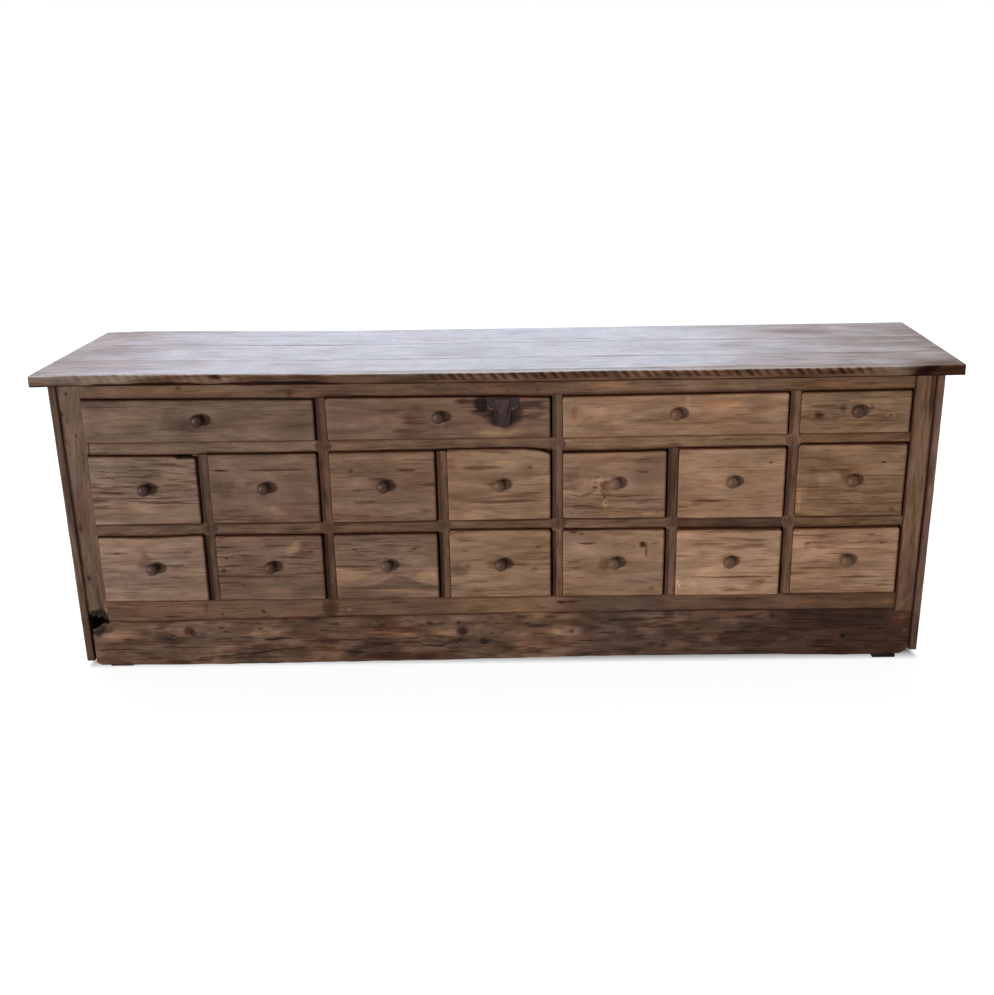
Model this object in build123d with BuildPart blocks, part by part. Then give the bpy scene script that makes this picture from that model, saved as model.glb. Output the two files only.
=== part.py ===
from build123d import *
import os
from math import asin, cos, radians, sin, tan

# A low workshop cabinet of eighteen drawers in a joined wooden face frame, in millimetres.
# X runs to the right along the front, Y from the front to the back and Z up from the floor.
# The origin is the centre of the outer box at the floor.

# Columns, left to right: the width of the drawer fronts in each
front_width_1 = 274.0
front_width_2 = 277.0
front_width_3 = 268.0
front_width_4 = 262.0
front_width_5 = 262.0
front_width_6 = 269.0
front_width_7 = 272.0

# Worn gaps between a drawer front and its opening
gap_left = 1.0
gap_right = 5.0
gap_above = 3.0
gap_below = 1.0

# Face frame, across
left_stile_width = 50.0
right_stile_width = 54.0
divider_width = 26.0

# Everything from the floor up
pad_height = 8.0
plinth_height = 128.5
plinth_joint = 1.5
bottom_rail_height = 54.0
lower_row_height = 184.5
lower_rail_height = 33.0
middle_row_height = 184.5
upper_rail_height = 33.0
upper_row_height = 111.0
top_rail_height = 42.0
top_thickness = 26.0

# From the front to the back
front_overhang = 38.0
carcass_depth = 522.0
frame_thickness = 25.0
back_rail_thickness = 22.0
back_board_thickness = 15.0

# Top
side_overhang = 37.0
front_plank_width = 160.0
middle_plank_width = 193.0
plank_seam = 0.8
plank_edge_wear = 1.5
tongue_thickness = 7.0
tongue_depth = 7.0
tongue_play = 0.2
top_corner_radius = 14.0

# Sides and base
side_thickness = 20.0
side_floor_clearance = 18.0
housing_depth = 6.0
back_rebate_depth = 10.0
bottom_board_thickness = 18.0
bottom_board_count = 3
back_board_count = 12
board_gap = 1.0
plinth_thickness = 25.0
plinth_setback = 2.0
plinth_end_gap = 1.2
bearer_thickness = 44.0
pad_size = 60.0
pad_inset = 88.0
pad_setback = 6.0

# Wear at the plinth's ends and the rotten foot of the left stile
rot_width = 60.0
rot_depth = 27.0
rot_rise = 15.0
worn_corner_width = 26.0
worn_corner_height = 20.0
chipped_corner_width = 12.0
chipped_corner_height = 7.0

# Frame joints
diamond_reach = 8.0
frame_tenon_thickness = 8.0
stile_tenon_length = 24.0
upright_tenon_length = 16.0
tenon_shoulder = 6.0
upright_shoulder = 4.0
joint_play = 0.2

# Runners, guides and battens
runner_thickness = 22.0
runner_ledge = 28.0
runner_tenon_length = 6.0
runner_tenon_height = 10.0
guide_height = 18.0
batten_width = 60.0
batten_thickness = 18.0
batten_notch = 12.0

# Drawers
front_thickness = 22.0
front_proud = 5.0
front_edge_radius = 1.5
box_board = 12.0
drawer_bottom_thickness = 8.0
drawer_bottom_rise = 10.0
groove_depth = 5.0
side_drop = 2.0
back_drop = 12.0
slide_clearance = 0.3
stop_clearance = 0.4
dovetail_length = 14.0
dovetail_pitch = 34.0
dovetail_angle = 9.0

# Knobs, with the places along a knob as shares of its length
knob_radius = 16.5
knob_length = 30.0
knob_shoulder_radius = 10.0
knob_waist_radius = 7.5
knob_collar_radius = 14.5
knob_crown_radius = 13.5
knob_waist_place = 0.25
knob_collar_place = 0.45
knob_rim_place = 0.6
knob_crown_place = 0.8
knob_tenon_radius = 6.0
knob_tenon_play = 0.15
knob_rise = 6.0

# Lock plate on the second drawer of the upper row
plate_shift = 162.0
plate_width = 80.0
plate_height = 72.0
plate_wing_height = 30.0
plate_stem_width = 42.0
plate_thickness = 2.5
plate_tongue_proud = 3.5
plate_tongue_taper = 20.0
plate_top_margin = 1.0
plate_pin_radius = 1.5
plate_pin_length = 12.0

# Nails
nail_radius = 1.5
nail_play = 0.1
nail_head_radius = 3.2
nail_head_height = 1.0
nail_bite = 14.0

# Places from the left to the right
column_fronts = [
    front_width_1, front_width_2, front_width_3, front_width_4,
    front_width_5, front_width_6, front_width_7,
]
opening_slack = gap_left + gap_right
frame_width = (
    left_stile_width + right_stile_width + sum(column_fronts)
    + len(column_fronts) * opening_slack + (len(column_fronts) - 1) * divider_width
)
carcass_width = frame_width + 2 * side_thickness
overall_width = carcass_width + 2 * side_overhang
top_left = -overall_width / 2
side_left = top_left + side_overhang
side_right = side_left + carcass_width
inside_left = side_left + side_thickness
inside_right = side_right - side_thickness

columns = []
edge = inside_left + left_stile_width
for front_width in column_fronts:
    columns.append((edge, edge + front_width + opening_slack))
    edge = columns[-1][1] + divider_width
uprights = [(left[1], right[0]) for left, right in zip(columns, columns[1:])]
divider_places = uprights[1::2]
muntin_places = uprights[0::2]
bays = [(columns[i][0], columns[min(i + 1, len(columns) - 1)][1]) for i in range(0, len(columns), 2)]
left_stile = (inside_left, columns[0][0])
right_stile = (columns[-1][1], inside_right)
slide_lines = [left_stile] + uprights + [right_stile]
main_lines = [left_stile] + divider_places + [right_stile]

# Places from the floor up
plinth_top = pad_height + plinth_height
frame_bottom = plinth_top + plinth_joint
lower_floor = frame_bottom + bottom_rail_height
lower_ceiling = lower_floor + lower_row_height
middle_floor = lower_ceiling + lower_rail_height
middle_ceiling = middle_floor + middle_row_height
upper_floor = middle_ceiling + upper_rail_height
upper_ceiling = upper_floor + upper_row_height
top_underside = upper_ceiling + top_rail_height
overall_height = top_underside + top_thickness
lower_rail = (lower_ceiling, middle_floor)
upper_rail = (middle_ceiling, upper_floor)
boards_underside = lower_floor - bottom_board_thickness

# Places from the front to the back
overall_depth = front_overhang + carcass_depth
top_front = -overall_depth / 2
top_back = top_front + overall_depth
face = top_front + front_overhang
frame_back = face + frame_thickness
boards_front = top_back - back_board_thickness
back_rail_front = boards_front - back_rail_thickness
plinth_back = face + plinth_setback + plinth_thickness
tenon_middle = (face + frame_back) / 2
tenon_y = (tenon_middle - frame_tenon_thickness / 2, tenon_middle + frame_tenon_thickness / 2)

side_boards = [(side_left, inside_left), (inside_right, side_right)]
bearer_middles = [side_left + pad_inset, 0.0, side_right - pad_inset]
back_rails = [
    (side_floor_clearance, boards_underside), lower_rail, upper_rail, (upper_ceiling, top_underside),
]


def grown(limits, amount):
    """A pair of limits moved outwards at both ends."""
    return (limits[0] - amount, limits[1] + amount)


def front_sheet(y):
    """The sketch plane that faces the front at the depth y: its axes are X and Z."""
    return Plane.XZ.offset(-y)


def patch(first, second, mode=Mode.ADD):
    """A rectangle between its limits along a sketch's two axes."""
    corners = [(first[0], second[0]), (first[1], second[0]), (first[1], second[1]), (first[0], second[1])]
    Polygon(*corners, align=None, mode=mode)


def block(x, y, z, mode=Mode.ADD):
    """A rectangular piece of wood, or a square hole for one, between its limits."""
    with BuildSketch(Plane.XY.offset(z[0])) as outline:
        patch(x, y)
    extrude(outline.sketch, amount=z[1] - z[0], mode=mode)


def split_evenly(limits, count, gap):
    """The limits of boards laid side by side with a gap between them."""
    width = (limits[1] - limits[0] - (count - 1) * gap) / count
    return [(limits[0] + i * (width + gap), limits[0] + i * (width + gap) + width) for i in range(count)]


def save(part, name):
    part.label = name
    export_step(part, f"parts/{name}.step")


# Battens stand over the dividers and just inside the stiles
batten_places = [(left_stile[1], left_stile[1] + batten_width)]
for low, high in divider_places:
    batten_places.append(((low + high - batten_width) / 2, (low + high + batten_width) / 2))
batten_places.append((right_stile[0] - batten_width, right_stile[0]))
batten_y = (frame_back - batten_notch, back_rail_front + batten_notch)
batten_z = (top_underside - batten_thickness, top_underside)

# The top's planks, each with the places of its nails
front_plank = (top_front, top_front + front_plank_width)
middle_plank = (front_plank[1] + plank_seam, front_plank[1] + plank_seam + middle_plank_width)
back_plank = (middle_plank[1] + plank_seam, top_back)
planks = {"top_plank_front": front_plank, "top_plank_middle": middle_plank, "top_plank_back": back_plank}


def plank_nails(plank):
    """Two nails through a plank into each batten, clear of the frame and the back rail."""
    low = max(plank[0], frame_back)
    high = min(plank[1], back_rail_front)
    rows = (low + (high - low) / 4, high - (high - low) / 4)
    return [((x_low + x_high) / 2, y) for x_low, x_high in batten_places for y in rows]


top_nails = [spot for plank in planks.values() for spot in plank_nails(plank)]

# Back boards stand side by side in the side boards' rebates
back_boards_x = split_evenly(
    (inside_left - back_rebate_depth, inside_right + back_rebate_depth), back_board_count, board_gap
)
back_nails = []
for low, high in back_rails:
    for x_low, x_high in back_boards_x:
        clear_low = max(x_low, inside_left)
        clear_high = min(x_high, inside_right)
        back_nails.append(((clear_low + clear_high) / 2, (low + high) / 2))


def pegs(sheet, spots, radius, depth, mode=Mode.ADD):
    """Round pegs, or holes for them, from a sketch plane along its normal by depth."""
    with BuildSketch(sheet) as circles:
        with Locations(*spots):
            Circle(radius)
    extrude(circles.sketch, amount=depth, mode=mode)


def nails_from_above(spots, mode=Mode.ADD, play=0.0):
    """Nails driven down through the top into the battens, or the holes that they fill."""
    sheet = Plane.XY.offset(overall_height)
    pegs(sheet, spots, nail_radius + play, -(top_thickness + nail_bite + play), mode)
    pegs(sheet, spots, nail_head_radius + play, -(nail_head_height + play), mode)


def nails_from_behind(spots, mode=Mode.ADD, play=0.0):
    """Nails driven forwards through the back boards into the rails, or the holes that they fill."""
    sheet = front_sheet(top_back)
    pegs(sheet, spots, nail_radius + play, back_board_thickness + nail_bite + play, mode)
    pegs(sheet, spots, nail_head_radius + play, nail_head_height + play, mode)


def runner_places():
    """Every runner: its limits across, its top and the limits of the upright in front of it."""
    places = []
    for line in slide_lines:
        low = line[0] if line == left_stile else line[0] - runner_ledge
        high = line[1] if line == right_stile else line[1] + runner_ledge
        places += [((low, high), top, line) for top in (middle_floor, upper_floor)]
    return places


def runner_tenon(line, top, y, mode=Mode.ADD, play=0.0):
    """A runner's stub tenon behind its upright, or the mortise for it."""
    middle = top - runner_thickness / 2
    tenon_z = (middle - runner_tenon_height / 2, middle + runner_tenon_height / 2)
    block(grown(line, play - upright_shoulder), grown(y, play), grown(tenon_z, play), mode)


def runner_mortises(x, z):
    """Mortises in the back of one piece of the frame for the runners that meet it there."""
    for _, top, line in runner_places():
        if x[0] <= line[0] and line[1] <= x[1] and z[0] < top - runner_thickness / 2 < z[1]:
            front_tenon = (frame_back - runner_tenon_length, frame_back)
            runner_tenon(line, top, front_tenon, Mode.SUBTRACT, joint_play)


def frame_rail(x, z, tenons, points):
    """A length of rail: a tenon on each end, and a notch where it meets a divider's diamond."""
    with BuildSketch(front_sheet(face)) as outline:
        patch(x, z)
        for end, inwards, pointed in ((x[0], 1, points[0]), (x[1], -1, points[1])):
            if pointed:
                tip = (end + inwards * diamond_reach, (z[0] + z[1]) / 2)
                Polygon((end, z[0]), tip, (end, z[1]), align=None, mode=Mode.SUBTRACT)
    extrude(outline.sketch, amount=-frame_thickness)
    block((x[0] - tenons[0], x[1] + tenons[1]), tenon_y, grown(z, -tenon_shoulder))


def frame_upright(x, z, crossings):
    """A divider or muntin: tenons up and down, and a diamond with a mortise at each rail."""
    with BuildSketch(front_sheet(face)) as outline:
        patch(x, z)
        for low, high in crossings:
            for end, outwards in ((x[0], -1), (x[1], 1)):
                Polygon((end, low), (end + outwards * diamond_reach, (low + high) / 2), (end, high), align=None)
    extrude(outline.sketch, amount=-frame_thickness)
    block(grown(x, -upright_shoulder), tenon_y, grown(z, upright_tenon_length))
    for crossing in crossings:
        mortise_z = grown(crossing, joint_play - tenon_shoulder)
        block(grown(x, diamond_reach), grown(tenon_y, joint_play), mortise_z, Mode.SUBTRACT)


def upright_mortise(x, z_end, depth):
    """The mortise for an upright's tenon, reaching from z_end into the rail by depth."""
    z = (min(z_end, z_end + depth), max(z_end, z_end + depth))
    block(grown(x, joint_play - upright_shoulder), grown(tenon_y, joint_play), z, Mode.SUBTRACT)


def top_plank(limits, has_tongue, has_groove):
    """One plank of the top, tongued into the plank in front of it and grooved for the next."""
    middle = top_underside + top_thickness / 2
    tongue_z = (middle - tongue_thickness / 2, middle + tongue_thickness / 2)
    with BuildPart() as plank:
        with BuildSketch(Plane.YZ.offset(top_left)) as outline:
            patch(limits, (top_underside, overall_height))
            if has_tongue:
                patch((limits[0] - tongue_depth, limits[0]), tongue_z)
            if has_groove:
                groove_y = (limits[1] - tongue_depth - tongue_play, limits[1])
                patch(groove_y, grown(tongue_z, tongue_play), Mode.SUBTRACT)
        extrude(outline.sketch, amount=overall_width)
        top_edges = plank.edges().filter_by(Axis.X).filter_by_position(
            Axis.Z, overall_height, overall_height
        )
        chamfer(top_edges, plank_edge_wear)
        nails_from_above(plank_nails(limits), Mode.SUBTRACT, nail_play)
    return plank.part


def side_panel(limits, inner):
    """A side board, housed for the bottom boards and back rails and rebated for the back boards."""
    inwards = 1 if inner == limits[1] else -1
    side_z = (side_floor_clearance, top_underside)

    def slot(depth):
        return (min(inner, inner - inwards * depth), max(inner, inner - inwards * depth))

    with BuildPart() as panel:
        block(limits, (face, top_back), side_z)
        block(slot(housing_depth), (frame_back, boards_front), (boards_underside, lower_floor), Mode.SUBTRACT)
        for rail in back_rails:
            block(slot(housing_depth), (back_rail_front, boards_front), rail, Mode.SUBTRACT)
        block(slot(back_rebate_depth), (boards_front, top_back), side_z, Mode.SUBTRACT)
    return panel.part


def stile(limits, inner, rotten):
    """A stile with its rails' mortises; the left one has lost its foot to rot."""
    inwards = 1 if inner == limits[1] else -1
    with BuildPart() as piece:
        block(limits, (face, frame_back), (frame_bottom, top_underside))
        deep = inner - inwards * (stile_tenon_length + joint_play)
        for rail in ((frame_bottom, lower_floor), lower_rail, upper_rail, (upper_ceiling, top_underside)):
            mortise_x = (min(inner, deep), max(inner, deep))
            mortise_z = grown(rail, joint_play - tenon_shoulder)
            block(mortise_x, grown(tenon_y, joint_play), mortise_z, Mode.SUBTRACT)
        runner_mortises(limits, (frame_bottom, top_underside))
        if rotten:
            width = limits[1] - limits[0]
            splinters = [
                (limits[0], frame_bottom),
                (limits[0], frame_bottom + rot_rise),
                (limits[0] + 0.2 * width, frame_bottom + 0.5 * rot_rise),
                (limits[0] + 0.35 * width, frame_bottom + rot_rise),
                (limits[0] + 0.55 * width, frame_bottom + 0.4 * rot_rise),
                (limits[0] + 0.7 * width, frame_bottom + 0.8 * rot_rise),
                (limits[0] + 0.9 * width, frame_bottom),
            ]
            with BuildSketch(front_sheet(face)) as outline:
                Polygon(*splinters, align=None)
            extrude(outline.sketch, amount=-frame_thickness, mode=Mode.SUBTRACT)
    return piece.part


def top_rail_piece():
    """The top rail, mortised under for the dividers and notched above for the battens."""
    x = (left_stile[1], right_stile[0])
    with BuildPart() as rail:
        frame_rail(x, (upper_ceiling, top_underside), (stile_tenon_length, stile_tenon_length), (False, False))
        for place in divider_places:
            upright_mortise(place, upper_ceiling, upright_tenon_length + joint_play)
        for place in batten_places:
            block(place, (batten_y[0], frame_back), batten_z, Mode.SUBTRACT)
    return rail.part


def bottom_rail_piece():
    """The bottom rail, mortised above for the dividers and the muntins."""
    x = (left_stile[1], right_stile[0])
    with BuildPart() as rail:
        frame_rail(x, (frame_bottom, lower_floor), (stile_tenon_length, stile_tenon_length), (False, False))
        for place in uprights:
            upright_mortise(place, lower_floor, -upright_tenon_length - joint_play)
    return rail.part


def rail_lengths(openings, z, muntins_below):
    """A rail in lengths between the uprights."""
    short_tenon = divider_width / 2 - joint_play
    last = len(openings) - 1
    with BuildPart() as rail:
        for i, x in enumerate(openings):
            tenons = (short_tenon if i else stile_tenon_length, short_tenon if i < last else stile_tenon_length)
            frame_rail(x, z, tenons, (i > 0, i < last))
            runner_mortises(x, z)
        for place in muntins_below:
            upright_mortise(place, z[0], upright_tenon_length + joint_play)
    return rail.part


def divider_group():
    """Three dividers from the bottom rail to the top rail."""
    z = (lower_floor, upper_ceiling)
    with BuildPart() as group:
        for place in divider_places:
            frame_upright(place, z, (lower_rail, upper_rail))
            runner_mortises(place, z)
    return group.part


def muntin_group():
    """Three short muntins from the bottom rail to the upper rail."""
    z = (lower_floor, middle_ceiling)
    with BuildPart() as group:
        for place in muntin_places:
            frame_upright(place, z, (lower_rail,))
            runner_mortises(place, z)
    return group.part


def plinth():
    """The plinth board, with its worn bottom corners and the rot at its top left."""
    x = (inside_left + plinth_end_gap, inside_right - plinth_end_gap)
    outline_points = [
        (x[0], pad_height + chipped_corner_height),
        (x[0] + chipped_corner_width, pad_height),
        (x[1] - worn_corner_width, pad_height),
        (x[1] - 0.4 * worn_corner_width, pad_height + 0.45 * worn_corner_height),
        (x[1], pad_height + worn_corner_height),
        (x[1], plinth_top),
        (x[0] + rot_width, plinth_top),
        (x[0] + 0.75 * rot_width, plinth_top - 0.35 * rot_depth),
        (x[0] + 0.5 * rot_width, plinth_top - 0.3 * rot_depth),
        (x[0] + 0.35 * rot_width, plinth_top - 0.8 * rot_depth),
        (x[0], plinth_top - rot_depth),
    ]
    with BuildPart() as board:
        with BuildSketch(front_sheet(face + plinth_setback)) as outline:
            Polygon(*outline_points, align=None)
        extrude(outline.sketch, amount=-plinth_thickness)
    return board.part


def back_board_group():
    """The boards that close the back."""
    with BuildPart() as group:
        for x in back_boards_x:
            block(x, (boards_front, top_back), (side_floor_clearance, top_underside))
        nails_from_behind(back_nails, Mode.SUBTRACT, nail_play)
    return group.part


def back_rail_group():
    """Four rails across the back, which carry the runners, the battens and the back boards."""
    with BuildPart() as group:
        for z in back_rails:
            block(grown((inside_left, inside_right), housing_depth), (back_rail_front, boards_front), z)
        for _, top, line in runner_places():
            back_tenon = (back_rail_front, back_rail_front + runner_tenon_length)
            runner_tenon(line, top, back_tenon, Mode.SUBTRACT, joint_play)
        for place in batten_places:
            block(place, (back_rail_front, batten_y[1]), batten_z, Mode.SUBTRACT)
        nails_from_behind(back_nails, Mode.SUBTRACT, nail_play)
    return group.part


def bottom_board_group():
    """The boards under the lower row, housed in the side boards and lying on the bearers."""
    with BuildPart() as group:
        for y in split_evenly((frame_back, boards_front), bottom_board_count, board_gap):
            block(grown((inside_left, inside_right), housing_depth), y, (boards_underside, lower_floor))
    return group.part


def runner_group():
    """Runners from the frame to the back rails, at the floors of the two upper rows."""
    with BuildPart() as group:
        for x, top, line in runner_places():
            block(x, (frame_back, back_rail_front), (top - runner_thickness, top))
            through_y = (frame_back - runner_tenon_length, back_rail_front + runner_tenon_length)
            runner_tenon(line, top, through_y)
    return group.part


def guide_group():
    """Strips between neighbouring drawers, on the runners and on the bottom boards."""
    with BuildPart() as group:
        for top, lines in ((lower_floor, slide_lines), (middle_floor, slide_lines), (upper_floor, main_lines)):
            for line in lines:
                block(line, (frame_back, back_rail_front), (top, top + guide_height))
    return group.part


def batten_group():
    """Battens under the top, notched into the top rail and the uppermost back rail."""
    with BuildPart() as group:
        for x in batten_places:
            block(x, batten_y, batten_z)
        nails_from_above(top_nails, Mode.SUBTRACT, nail_play)
    return group.part


def bearer_group():
    """Bearers on edge that carry the bottom boards down to the foot pads."""
    with BuildPart() as group:
        for middle in bearer_middles:
            x = (middle - bearer_thickness / 2, middle + bearer_thickness / 2)
            block(x, (plinth_back, back_rail_front), (pad_height, boards_underside))
    return group.part


def pad_group():
    """Four foot pads, under the ends of the two outer bearers."""
    front_pad = (face + pad_setback, face + pad_setback + pad_size)
    back_pad = (back_rail_front - pad_size, back_rail_front)
    with BuildPart() as group:
        for middle in (bearer_middles[0], bearer_middles[-1]):
            for y in (front_pad, back_pad):
                block((middle - pad_size / 2, middle + pad_size / 2), y, (0.0, pad_height))
    return group.part


def nail_group():
    """The nails of the top and of the back boards."""
    with BuildPart() as group:
        nails_from_above(top_nails)
        nails_from_behind(back_nails)
    return group.part


def dovetails(root_y, tip_y, z, mode):
    """A row of tails on a side board's end, drawn on the sheet that faces sideways."""
    count = max(2, round((z[1] - z[0]) / dovetail_pitch))
    pitch = (z[1] - z[0]) / count
    reach = tip_y - root_y
    root = pitch / 4
    tip = root + abs(reach) * tan(radians(dovetail_angle))
    with Locations(*[(root_y, z[0] + pitch * (i + 0.5)) for i in range(count)]):
        Polygon((0, -root), (reach, -tip), (reach, tip), (0, root), align=None, mode=mode)


def knob_spot(x, z):
    """The knob's centre on a drawer front."""
    return ((x[0] + x[1]) / 2, (z[0] + z[1]) / 2 + knob_rise)


def drawer_front_limits(opening, floor, ceiling):
    """The front's limits across and up, inside its opening's worn gaps."""
    return (opening[0] + gap_left, opening[1] - gap_right), (floor + gap_below, ceiling - gap_above)


def drawer(name, opening, floor, ceiling, plate_pins=()):
    """A drawer's box: a thick front, dovetailed sides and back, and a bottom board in grooves."""
    front_x, front_z = drawer_front_limits(opening, floor, ceiling)
    front_y = (face - front_proud, face - front_proud + front_thickness)
    box_back = back_rail_front - stop_clearance
    side_z = (floor + slide_clearance, front_z[1] - side_drop)
    bottom_z = (side_z[0] + drawer_bottom_rise, side_z[0] + drawer_bottom_rise + drawer_bottom_thickness)
    back_z = (bottom_z[1], side_z[1] - back_drop)
    inner_x = grown(front_x, -box_board)
    left_side = (front_x[0], inner_x[0])
    right_side = (inner_x[1], front_x[1])
    front_tails = (front_y[1], front_y[1] - dovetail_length, (bottom_z[1], side_z[1]))
    back_tails = (box_back - box_board, box_back, back_z)

    def bottom_board(mode):
        block(grown(inner_x, groove_depth), (front_y[1] - groove_depth, box_back), bottom_z, mode)

    def tail_solids(place, limits, mode):
        with BuildSketch(Plane.YZ.offset(place[0])) as outline:
            dovetails(*limits, Mode.ADD)
        extrude(outline.sketch, amount=place[1] - place[0], mode=mode)

    with BuildPart() as front:
        block(front_x, front_y, front_z)
        rim = front.faces().sort_by(Axis.Y)[0].edges()
        fillet(rim, front_edge_radius)
        for place in (left_side, right_side):
            tail_solids(place, front_tails, Mode.SUBTRACT)
        bottom_board(Mode.SUBTRACT)
        bore_radius = knob_tenon_radius + knob_tenon_play
        pegs(front_sheet(front_y[1]), [knob_spot(front_x, front_z)], bore_radius, front_thickness, Mode.SUBTRACT)
        if plate_pins:
            pin_hole_radius = plate_pin_radius + nail_play
            pegs(front_sheet(front_y[0]), plate_pins, pin_hole_radius, -plate_pin_length, Mode.SUBTRACT)
    front.part.label = "front"

    boards = [front.part]
    for place in (left_side, right_side):
        with BuildPart() as side:
            with BuildSketch(Plane.YZ.offset(place[0])) as outline:
                patch((front_y[1], box_back), side_z)
                patch((box_back - box_board, box_back), back_z, Mode.SUBTRACT)
                dovetails(*front_tails, Mode.ADD)
                dovetails(*back_tails, Mode.ADD)
            extrude(outline.sketch, amount=place[1] - place[0])
            bottom_board(Mode.SUBTRACT)
        side.part.label = "side"
        boards.append(side.part)

    with BuildPart() as back:
        block(front_x, (box_back - box_board, box_back), back_z)
        for place in (left_side, right_side):
            tail_solids(place, back_tails, Mode.SUBTRACT)
    back.part.label = "back"

    with BuildPart() as bottom:
        bottom_board(Mode.ADD)
    bottom.part.label = "bottom"
    return Compound(label=name, children=boards + [back.part, bottom.part])


def knob(spot):
    """A turned knob: a domed head on a waisted neck, and a tenon through the drawer front."""
    face_centre = Vector(spot[0], face - front_proud, spot[1])
    turning = Plane(origin=face_centre, x_dir=(1, 0, 0), z_dir=(0, 0, 1))
    waist_y = -knob_waist_place * knob_length
    collar_y = -knob_collar_place * knob_length
    rim_y = -knob_rim_place * knob_length
    crown_y = -knob_crown_place * knob_length
    crown_height = knob_length + crown_y
    dome_radius = (knob_crown_radius**2 + crown_height**2) / (2 * crown_height)
    half_turn = asin(knob_crown_radius / dome_radius) / 2
    dome_middle = (dome_radius * sin(half_turn), dome_radius * (1 - cos(half_turn)) - knob_length)
    with BuildPart() as turned:
        with BuildSketch(turning) as outline:
            with BuildLine() as profile:
                Line((0, front_thickness), (knob_tenon_radius, front_thickness))
                Line((knob_tenon_radius, front_thickness), (knob_tenon_radius, 0))
                Line((knob_tenon_radius, 0), (knob_shoulder_radius, 0))
                ThreePointArc(
                    (knob_shoulder_radius, 0), (knob_waist_radius, waist_y), (knob_collar_radius, collar_y)
                )
                ThreePointArc(
                    (knob_collar_radius, collar_y), (knob_radius, rim_y), (knob_crown_radius, crown_y)
                )
                ThreePointArc((knob_crown_radius, crown_y), dome_middle, (0, -knob_length))
                Line((0, -knob_length), (0, front_thickness))
            make_face()
        revolve(outline.sketch, axis=Axis(face_centre, (0, 1, 0)))
    return turned.part


def plate_layout(front_x, front_z):
    """The lock plate's centre line, its top and the spots of its four pins."""
    middle = (front_x[0] + front_x[1]) / 2 + plate_shift
    top = front_z[1] - plate_top_margin
    wing_x = plate_width / 2 - 3 * plate_pin_radius
    stem_x = plate_stem_width / 2 - 3 * plate_pin_radius
    spots = [(middle - wing_x, top - plate_wing_height / 2), (middle + wing_x, top - plate_wing_height / 2)]
    spots += [(middle - stem_x, top - 0.85 * plate_height), (middle + stem_x, top - 0.85 * plate_height)]
    return middle, top, spots


def lock_plate(front_x, front_z):
    """An iron plate with two wings, a stem and a raised tongue, held by four pins."""
    middle, top, spots = plate_layout(front_x, front_z)
    half = plate_width / 2
    stem = plate_stem_width / 2
    wing_foot = top - plate_wing_height
    plate_front = face - front_proud - plate_thickness
    with BuildPart() as plate:
        with BuildSketch(front_sheet(face - front_proud)) as outline:
            right_half = [
                (middle, top), (middle + half, top), (middle + half, wing_foot + 0.3 * plate_wing_height),
                (middle + 0.8 * half, wing_foot), (middle + stem, wing_foot - 0.15 * plate_wing_height),
                (middle + 0.9 * stem, top - plate_height), (middle, top - plate_height),
            ]
            Polygon(*right_half, align=None)
            mirror(about=Plane((middle, 0, 0), z_dir=(1, 0, 0)))
        extrude(outline.sketch, amount=plate_thickness)
        with BuildSketch(front_sheet(plate_front)) as tongue:
            tongue_points = [
                (middle - 0.6 * half, top), (middle + 0.6 * half, top),
                (middle + 0.6 * stem, top - 0.68 * plate_height), (middle - 0.6 * stem, top - 0.68 * plate_height),
            ]
            Polygon(*tongue_points, align=None)
        extrude(tongue.sketch, amount=plate_tongue_proud, taper=plate_tongue_taper)
        pegs(front_sheet(plate_front), spots, plate_pin_radius + nail_play, -plate_thickness, Mode.SUBTRACT)
    plate.part.label = "plate"
    with BuildPart() as pins:
        pegs(front_sheet(plate_front), spots, plate_pin_radius, -(plate_thickness + plate_pin_length - nail_play))
        pegs(front_sheet(plate_front), spots, 2 * plate_pin_radius, 0.8 * plate_pin_radius)
    pins.part.label = "pins"
    return Compound(label="lock_plate", children=[plate.part, pins.part])


os.makedirs("parts", exist_ok=True)

for plank_name, plank_limits in planks.items():
    plank_part = top_plank(plank_limits, plank_limits != front_plank, plank_limits != back_plank)
    if plank_limits == back_plank:
        corner = plank_part.edges().filter_by(Axis.Z).group_by(Axis.Y)[-1].sort_by(Axis.X)[-1]
        plank_part = plank_part.fillet(top_corner_radius, [corner])
    save(plank_part, plank_name)

save(side_panel(side_boards[0], inside_left), "side_panel_left")
save(side_panel(side_boards[1], inside_right), "side_panel_right")
save(stile(left_stile, left_stile[1], True), "stile_left")
save(stile(right_stile, right_stile[0], False), "stile_right")
save(top_rail_piece(), "top_rail")
save(bottom_rail_piece(), "bottom_rail")
save(rail_lengths(bays, upper_rail, muntin_places), "upper_rails")
save(rail_lengths(columns, lower_rail, ()), "lower_rails")
save(divider_group(), "dividers")
save(muntin_group(), "muntins")
save(plinth(), "plinth_board")
save(back_board_group(), "back_boards")
save(back_rail_group(), "back_rails")
save(bottom_board_group(), "bottom_boards")
save(runner_group(), "drawer_runners")
save(guide_group(), "drawer_guides")
save(batten_group(), "top_battens")
save(bearer_group(), "base_bearers")
save(pad_group(), "foot_pads")
save(nail_group(), "nails")

rows = {
    "upper": (bays, upper_floor, upper_ceiling),
    "middle": (columns, middle_floor, middle_ceiling),
    "lower": (columns, lower_floor, lower_ceiling),
}
for row, (openings, row_floor, row_ceiling) in rows.items():
    for number, row_opening in enumerate(openings, start=1):
        limits_x, limits_z = drawer_front_limits(row_opening, row_floor, row_ceiling)
        pin_spots = ()
        if (row, number) == ("upper", 2):
            pin_spots = plate_layout(limits_x, limits_z)[2]
            save(lock_plate(limits_x, limits_z), "lock_plate")
        name = f"{row}_{number}"
        save(drawer(f"drawer_{name}", row_opening, row_floor, row_ceiling, pin_spots), f"drawer_{name}")
        save(knob(knob_spot(limits_x, limits_z)), f"knob_{name}")
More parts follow.
